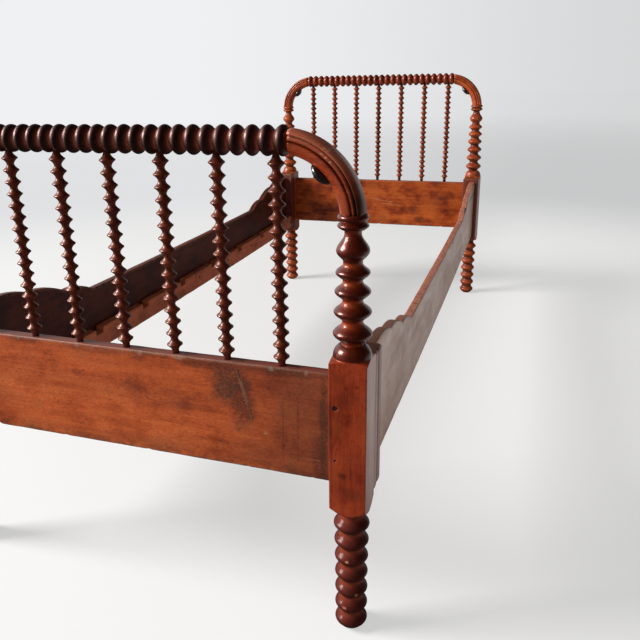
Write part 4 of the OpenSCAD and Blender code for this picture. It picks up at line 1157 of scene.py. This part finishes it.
def side_stations(half, reach):
    """Places along a side rail, close together over its shaped ends."""
    shaped = reach - SHAPED_END
    ends = np.linspace(half, shaped, 120)
    cusps = [reach - a * MM + d * MM for a, _ in LOBES for d in (-0.4, 0.4)]
    middle = np.linspace(-shaped, shaped, 80)
    places = np.concatenate([middle, ends, -ends, cusps, [-c for c in cusps]])
    return np.unique(np.round(np.clip(places, -half, half), 5))


def build_side(side, seed):
    """A side rail with lobed ends, sagging a little and worn at its edges."""
    node = f"side_rail_{side}"
    low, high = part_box(node)
    reach = axis_of("head_post_right").y
    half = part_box("head_end_block_right")[0].y + 0.5 * MM
    thick = high.x - low.x
    mid_x = (low.x + high.x) / 2
    bottom = low.z
    rows, edge = [], []
    for y in side_stations(half, reach):
        top = lobe_top(reach - abs(y))
        sag = SIDE_SAG * (1 - (y / half) ** 2)
        tall = top - bottom
        row, rub = [], []
        for dx, dz, near in rounded_outline(thick - 0.8 * MM, tall, 2.8 * MM, per_side=12):
            warp = 0.8 * MM * noise.noise(Vector((y * 3, dz * 5, seed)))
            worn = near * 0.5 * MM * (1 + noise.noise(Vector((y * 22, dz * 22, seed + 2))))
            row.append((mid_x + dx * (1 - worn / thick) + warp, y,
                        bottom + tall / 2 + dz * (1 - worn / tall) - sag))
            rub.append(near)
        rows.append(row)
        edge.append(rub)
    stand_in(node, f"lobed_side_rail_{side}", rows, FINISHES["side"], seed, 1, edge=edge)


def build_ledger(side, seed):
    """The ledger inside a side rail, with a notch for each slat."""
    node = f"ledger_{side}"
    low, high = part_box(node)
    reach = axis_of("head_post_right").y
    pitch = (2 * reach - 2 * NOTCH_FIRST) / (NOTCHES - 1)
    places = {low.y, high.y}
    for k in range(NOTCHES):
        mid = NOTCH_FIRST - reach + k * pitch
        places |= {mid + s * (NOTCH_W / 2 + d * MM) for s in (-1, 1) for d in (-1.2, 0, 0.6, 1.4)}
    places |= set(np.linspace(low.y, high.y, 160))
    rows, edge = [], []
    for y in sorted(places):
        k = min(range(NOTCHES), key=lambda n: abs(y - (NOTCH_FIRST - reach + n * pitch)))
        off = abs(y - (NOTCH_FIRST - reach + k * pitch)) - NOTCH_W / 2
        depth = NOTCH_D * (1 - max(0, min(1, (off + 0.1 * MM) / (1.3 * MM))))
        sag = SIDE_SAG * (1 - (y / high.y) ** 2)
        row, rub = [], []
        for dx, dz, near in rounded_outline(high.x - low.x - 0.6 * MM, high.z - low.z, 2.2 * MM, per_side=6):
            lift = dz if dz < 0 else dz - depth * max(0, dz) / ((high.z - low.z) / 2)
            rough = 0.7 * MM * noise.noise(Vector((y * 40, dz * 60, seed)))
            row.append(((low.x + high.x) / 2 + dx, y, (low.z + high.z) / 2 + lift - sag + rough * near))
            rub.append(near)
        rows.append(row)
        edge.append(rub)
    stand_in(node, f"notched_ledger_{side}", rows, FINISHES["ledger"], seed, 1, edge=edge)


def build_end_block(end, side, seed):
    """The block at a side rail's end, with two reeds down its outer face."""
    node = f"{end}_end_block_{side}"
    low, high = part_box(node)
    outward = 1 if side == "right" else -1
    outer = high.x if outward > 0 else low.x
    inner = low.x if outward > 0 else high.x
    to_post = -1 if end == "foot" else 1
    near = low.y if to_post < 0 else high.y
    far = high.y if to_post < 0 else low.y
    length = abs(far - near)
    reed = (length - 5 * MM) / 2
    outline, hollow, rim = [], [], []
    for start in (1 * MM, 4 * MM + reed):
        for i in range(13):
            a = math.pi * i / 12
            rise = math.sin(a) ** 0.7
            outline.append((outer - outward * REED_DEPTH * (1 - rise),
                            near - to_post * (start + reed * (0.5 - 0.5 * math.cos(a)))))
            hollow.append((1 - rise) ** 2)
            rim.append(max(0, rise - 0.7) * 2)
    flat = outer - outward * REED_DEPTH
    corners = [(flat, far), (inner, far), (inner, near), (flat, near)]
    for a, b in zip(corners, corners[1:]):
        for i in range(9):
            u = i / 8
            outline.append((a[0] + (b[0] - a[0]) * u, a[1] + (b[1] - a[1]) * u))
            hollow.append(0)
            rim.append(1 if i in (0, 8) else 0.15)
    rows, edge, groove = [], [], []
    low_end, high_end = [0, 0.4, 1, 2, 3.4, 5, 7], [226, 228, 229.6, 231, 232, 232.6, 233]
    heights = low_end + list(np.linspace(12, 221, 28)) + high_end
    for h in heights:
        z = low.z + h * MM * (high.z - low.z) / END_BLOCK_TALL
        close = min(z - low.z, high.z - z)
        ease = 5 * MM * (1 - math.sqrt(1 - (1 - min(1, close / (5 * MM))) ** 2))
        tuck = 0.7 * MM * (1 - min(1, close / (1.4 * MM)))
        row = []
        for x, y in outline:
            share = abs(x - inner) / abs(outer - inner)
            row.append((x - outward * (ease * share ** 4 + tuck * (2 * share - 1)),
                        y + tuck * (1 if y < (near + far) / 2 else -1), z))
        rows.append(row)
        edge.append([max(r, 1 - close / (5 * MM)) if close < 5 * MM else r for r in rim])
        groove.append(hollow)
    stand_in(node, f"{end}_{side}_reeded_end_block", rows, FINISHES["end_block"], seed,
             edge=edge, groove=groove)


# ---- the scene ---------------------------------------------------------------------

FINISHES = {
    "post": wood_finish("post_varnish", BLOCK_TONES, RED_WORN, wear=0.3, aged=GLASSY,
                        marks=dull_leg, glow=RED_GLOW),
    "near_post": wood_finish("near_post_varnish", BLOCK_TONES, RED_WORN, wear=0.4, mottle=0.8,
                             aged=GLASSY, marks=near_post_marks, glow=RED_GLOW),
    "arch": wood_finish("arch_varnish", ARCH_TONES, RED_WORN, shine=0.3, coat=0.3, wear=0.25,
                        aged=GLASSY_BAND, marks=foot_arch_marks, glow=COPPER_GLOW),
    "top_rail": wood_finish("top_rail_varnish", TOP_RAIL_TONES, RED_WORN, wear=0.9,
                            aged=GLASSY_RAIL, glow=PINK_GLOW),
    "spindle": wood_finish("spindle_varnish", SPINDLE_TONES, RED_WORN, wear=0.3,
                           aged=GLASSY_SPINDLE, glow=COPPER_GLOW),
    "board": wood_finish("board_varnish", BOARD_TONES, GREY_CHIP_AND_HIGHLIGHT, BOARD_GRIME, shine=0.45,
                         coat=0.05, wear=0.35, marks=foot_board_marks),
    "head_board": wood_finish("head_board_varnish", HEAD_BOARD_TONES, GREY_CHIP_AND_HIGHLIGHT, BOARD_GRIME,
                              shine=0.45, coat=0.05, wear=0.3, mottle=1.4, marks=head_board_marks),
    "head_post": wood_finish("head_post_varnish", HEAD_POST_TONES, HEAD_POST_WORN, shine=0.36,
                             coat=0.12, wear=0.2),
    "head_arch": wood_finish("head_arch_varnish", HEAD_ARCH_TONES, HEAD_ARCH_WORN, shine=0.32,
                             coat=0.2, wear=0.2, dirt_and_shade=0.3),
    "head_top_rail": wood_finish("head_rail_varnish", HEAD_RAIL_TONES, RED_WORN, shine=0.32,
                                 coat=0.2, wear=0.2, dirt_and_shade=0.5),
    "head_spindle": wood_finish("head_spindle_varnish", HEAD_SPINDLE_TONES, HEAD_SPINDLE_WORN,
                                shine=0.3, coat=0.25, wear=0.3),
    "side": wood_finish("side_rail_varnish", SIDE_TONES, BROWN_WORN, shine=0.45, coat=0.0,
                        wear=0.45, mottle=1.4, marks=side_rail_marks),
    "ledger": wood_finish("bare_ledger", LEDGER_TONES, BROWN_WORN, shine=0.6, coat=0.0, wear=0.3),
    "end_block": wood_finish("end_block_varnish", END_BLOCK_TONES, BROWN_WORN, shine=0.45,
                             coat=0.05, marks=end_block_marks),
    "peg": wood_finish("dark_peg", PEG_TONES, BROWN_WORN, shine=0.6, coat=0.0, wear=0.2),
    "button": button_finish(),
    "iron": iron_finish(),
}

seed = 0
for end in ("foot", "head"):
    for side in ("left", "right"):
        for build in (build_post, build_arch, build_button, build_end_block):
            seed += 1
            build(end, side, seed)
    for build in (build_top_rail, build_board):
        seed += 1
        build(end, seed)
    for index in range(1, 8):
        seed += 1
        build_spindle(end, index, seed)
for side in ("left", "right"):
    for build in (build_side, build_ledger):
        seed += 1
        build(side, seed)

for node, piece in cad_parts.items():
    if piece.hide_render:
        continue
    finish = FINISHES["peg"] if node == "board_pegs" else FINISHES["iron"]
    piece.data.materials.clear()
    piece.data.materials.append(finish)


FLOOR_REACH = 30
FLOOR_WHITE = (1.0, 1.0, 0.995)
# Grey of the floor under and beyond the bed, a painted shade.
FLOOR_SHADE_GREY = (0.85, 0.855, 0.85)
FLOOR_MATT = (0.63, 0.63, 0.63, 1)
# The backdrop is greyer to the right, a painted shade of the light falling off away from the lamp on the
# left.
BACKDROP_SHADED_RIGHT = (0.67, 0.675, 0.68)
BACKDROP_LIT_LEFT = (0.87, 0.875, 0.89)
SOFT_WHITE = (0.98, 0.97, 0.95, 1)


def backdrop_colour(shading, way):
    """The backdrop's pale colour in a direction, greyer to the right: a painted shade of the light falling
    off away from the lamp on the left.
    """
    left = shading.along(way, (-1, 0, 0)).above(-0.2, 0.5)
    return shading.mixed(BACKDROP_SHADED_RIGHT, BACKDROP_LIT_LEFT, left)


def seen_plainly(shading):
    """1 for rays that show the backdrop itself, in a view or in a reflection."""
    kinds = ("Camera", "Glossy", "Transmission")
    path = [shading.add("ShaderNodeLightPath", output=f"Is {kind} Ray") for kind in kinds]
    return path[0].math("MAXIMUM", path[1]).math("MAXIMUM", path[2])


def build_floor():
    """A pale studio floor that fades into the backdrop far away, greyer under
    and beyond the bed, a painted shade. Reflections show it bright on the left
    and, beyond the foot end, on the right."""
    mesh = bpy.data.meshes.new("studio_floor")
    corners = [(x * FLOOR_REACH, y * FLOOR_REACH, 0) for x, y in ((-1, -1), (1, -1), (1, 1), (-1, 1))]
    mesh.from_pydata(corners, [], [(0, 1, 2, 3)])
    floor = bpy.data.objects.new("studio_floor", mesh)
    bpy.context.scene.collection.objects.link(floor)
    paint = Finish("studio_floor")
    place = paint.place()
    distance = paint.vector("LENGTH", place, output="Value")
    far = distance.above(1.3, 3.6)
    # The floor is greyer under and beyond the bed, a painted shade of it.
    behind = paint.along(place, AHEAD).above(-1.1, 0.3)
    bed_shade = behind * (1 - paint.along(place, ACROSS).above(0.2, 0.6))
    near = paint.mixed(FLOOR_WHITE, FLOOR_SHADE_GREY, bed_shade)
    colour = paint.mixed(near, backdrop_colour(paint, paint.vector("NORMALIZE", place)), far)
    mirrored = paint.add("ShaderNodeLightPath", output="Is Glossy Ray")
    left_side = paint.along(place, (-0.92, 0.38, 0)).above(0.8, 2.4)
    beyond_foot = paint.along(place, AHEAD).above(-1.1, -0.5)
    right_side = paint.along(place, ACROSS).above(0.42, 0.6) * beyond_foot * 0.8
    screened = mirrored * (1 - left_side.math("MAXIMUM", right_side))
    hazy = far * (1 - distance.above(5, 14)) * 0.14
    matt = paint.add("ShaderNodeBsdfDiffuse", None, {"Color": FLOOR_MATT})
    strength = 1 - (screened * 0.94).math("MAXIMUM", hazy)
    glow = paint.add("ShaderNodeEmission", None, {"Color": colour, "Strength": strength})
    share = ((far * 0.45 + 0.55) * seen_plainly(paint)).math("MAXIMUM", screened)
    floor.data.materials.append(paint.close(paint.add("ShaderNodeMixShader", None, [share, matt, glow])))


def build_lamp(name, place, aim, size, power, colour):
    """An oblong soft light aimed at a place."""
    data = bpy.data.lights.new(name, "AREA")
    data.shape = "RECTANGLE"
    data.size, data.size_y = size
    data.energy = power
    data.color = colour
    lamp = bpy.data.objects.new(name, data)
    bpy.context.scene.collection.objects.link(lamp)
    lamp.location = place
    lamp.rotation_euler = (Vector(aim) - Vector(place)).to_track_quat("-Z", "Y").to_euler()


def build_world():
    """Pale surroundings: the backdrop, which reflections show bright on the left
    and at the far right and dim elsewhere, and a soft fill."""
    world = bpy.data.worlds.new("studio")
    bpy.context.scene.world = world
    world.use_nodes = True
    room = Shading(world.node_tree)
    way = room.add("ShaderNodeTexCoord", output="Generated")
    mirrored = room.add("ShaderNodeLightPath", output="Is Glossy Ray")
    left_side = room.along(way, (-0.93, 0.34, 0.12)).above(0.62, 0.9)
    far_right = room.along(way, (0.28, 0.96, 0)).above(0.9, 0.98)
    strength = 1 - mirrored * (1 - left_side.math("MAXIMUM", far_right)) * 0.97
    colour = backdrop_colour(room, way)
    backdrop = room.add("ShaderNodeBackground", None, {"Color": colour, "Strength": strength})
    right_side = room.along(way, (0.97, 0.05, 0.2)).clamped()
    front_side = room.along(way, (0.1, -0.97, 0.2)).clamped()
    soft = right_side * 0.21 + front_side * 0.21 + 0.08
    fill = room.add("ShaderNodeBackground", None, {"Color": SOFT_WHITE, "Strength": soft})
    whole = room.add("ShaderNodeMixShader", None, [seen_plainly(room), fill, backdrop])
    room.add("ShaderNodeOutputWorld", None, {"Surface": whole})


def build_camera():
    """A camera low at the foot end's right, looking up the bed."""
    data = bpy.data.cameras.new("camera")
    data.sensor_width = SENSOR_WIDTH
    data.lens = FOCAL_PX / PICTURE_PX * SENSOR_WIDTH
    data.shift_x, data.shift_y = CAMERA_SHIFT
    camera = bpy.data.objects.new("camera", data)
    bpy.context.scene.collection.objects.link(camera)
    yaw, pitch, roll = (math.radians(a) for a in CAMERA_TURN)
    ahead = Vector((-math.sin(yaw) * math.cos(pitch), math.cos(yaw) * math.cos(pitch), math.sin(pitch)))
    right = ahead.cross(Vector(UP)).normalized()
    up = right.cross(ahead)
    leaned_right = right * math.cos(roll) + up * math.sin(roll)
    leaned_up = up * math.cos(roll) - right * math.sin(roll)
    turn = Matrix((leaned_right, leaned_up, -ahead)).transposed()
    camera.matrix_world = Matrix.Translation(CAMERA_PLACE) @ turn.to_4x4()
    bpy.context.scene.camera = camera


build_floor()
build_world()
build_lamp("window", (-7.6, -3.2, 4.9), (0.0, -0.2, 0.4), (3.8, 3.8), 1950, (1.0, 0.98, 0.95))
build_camera()
bpy.context.scene.view_settings.view_transform = "Standard"
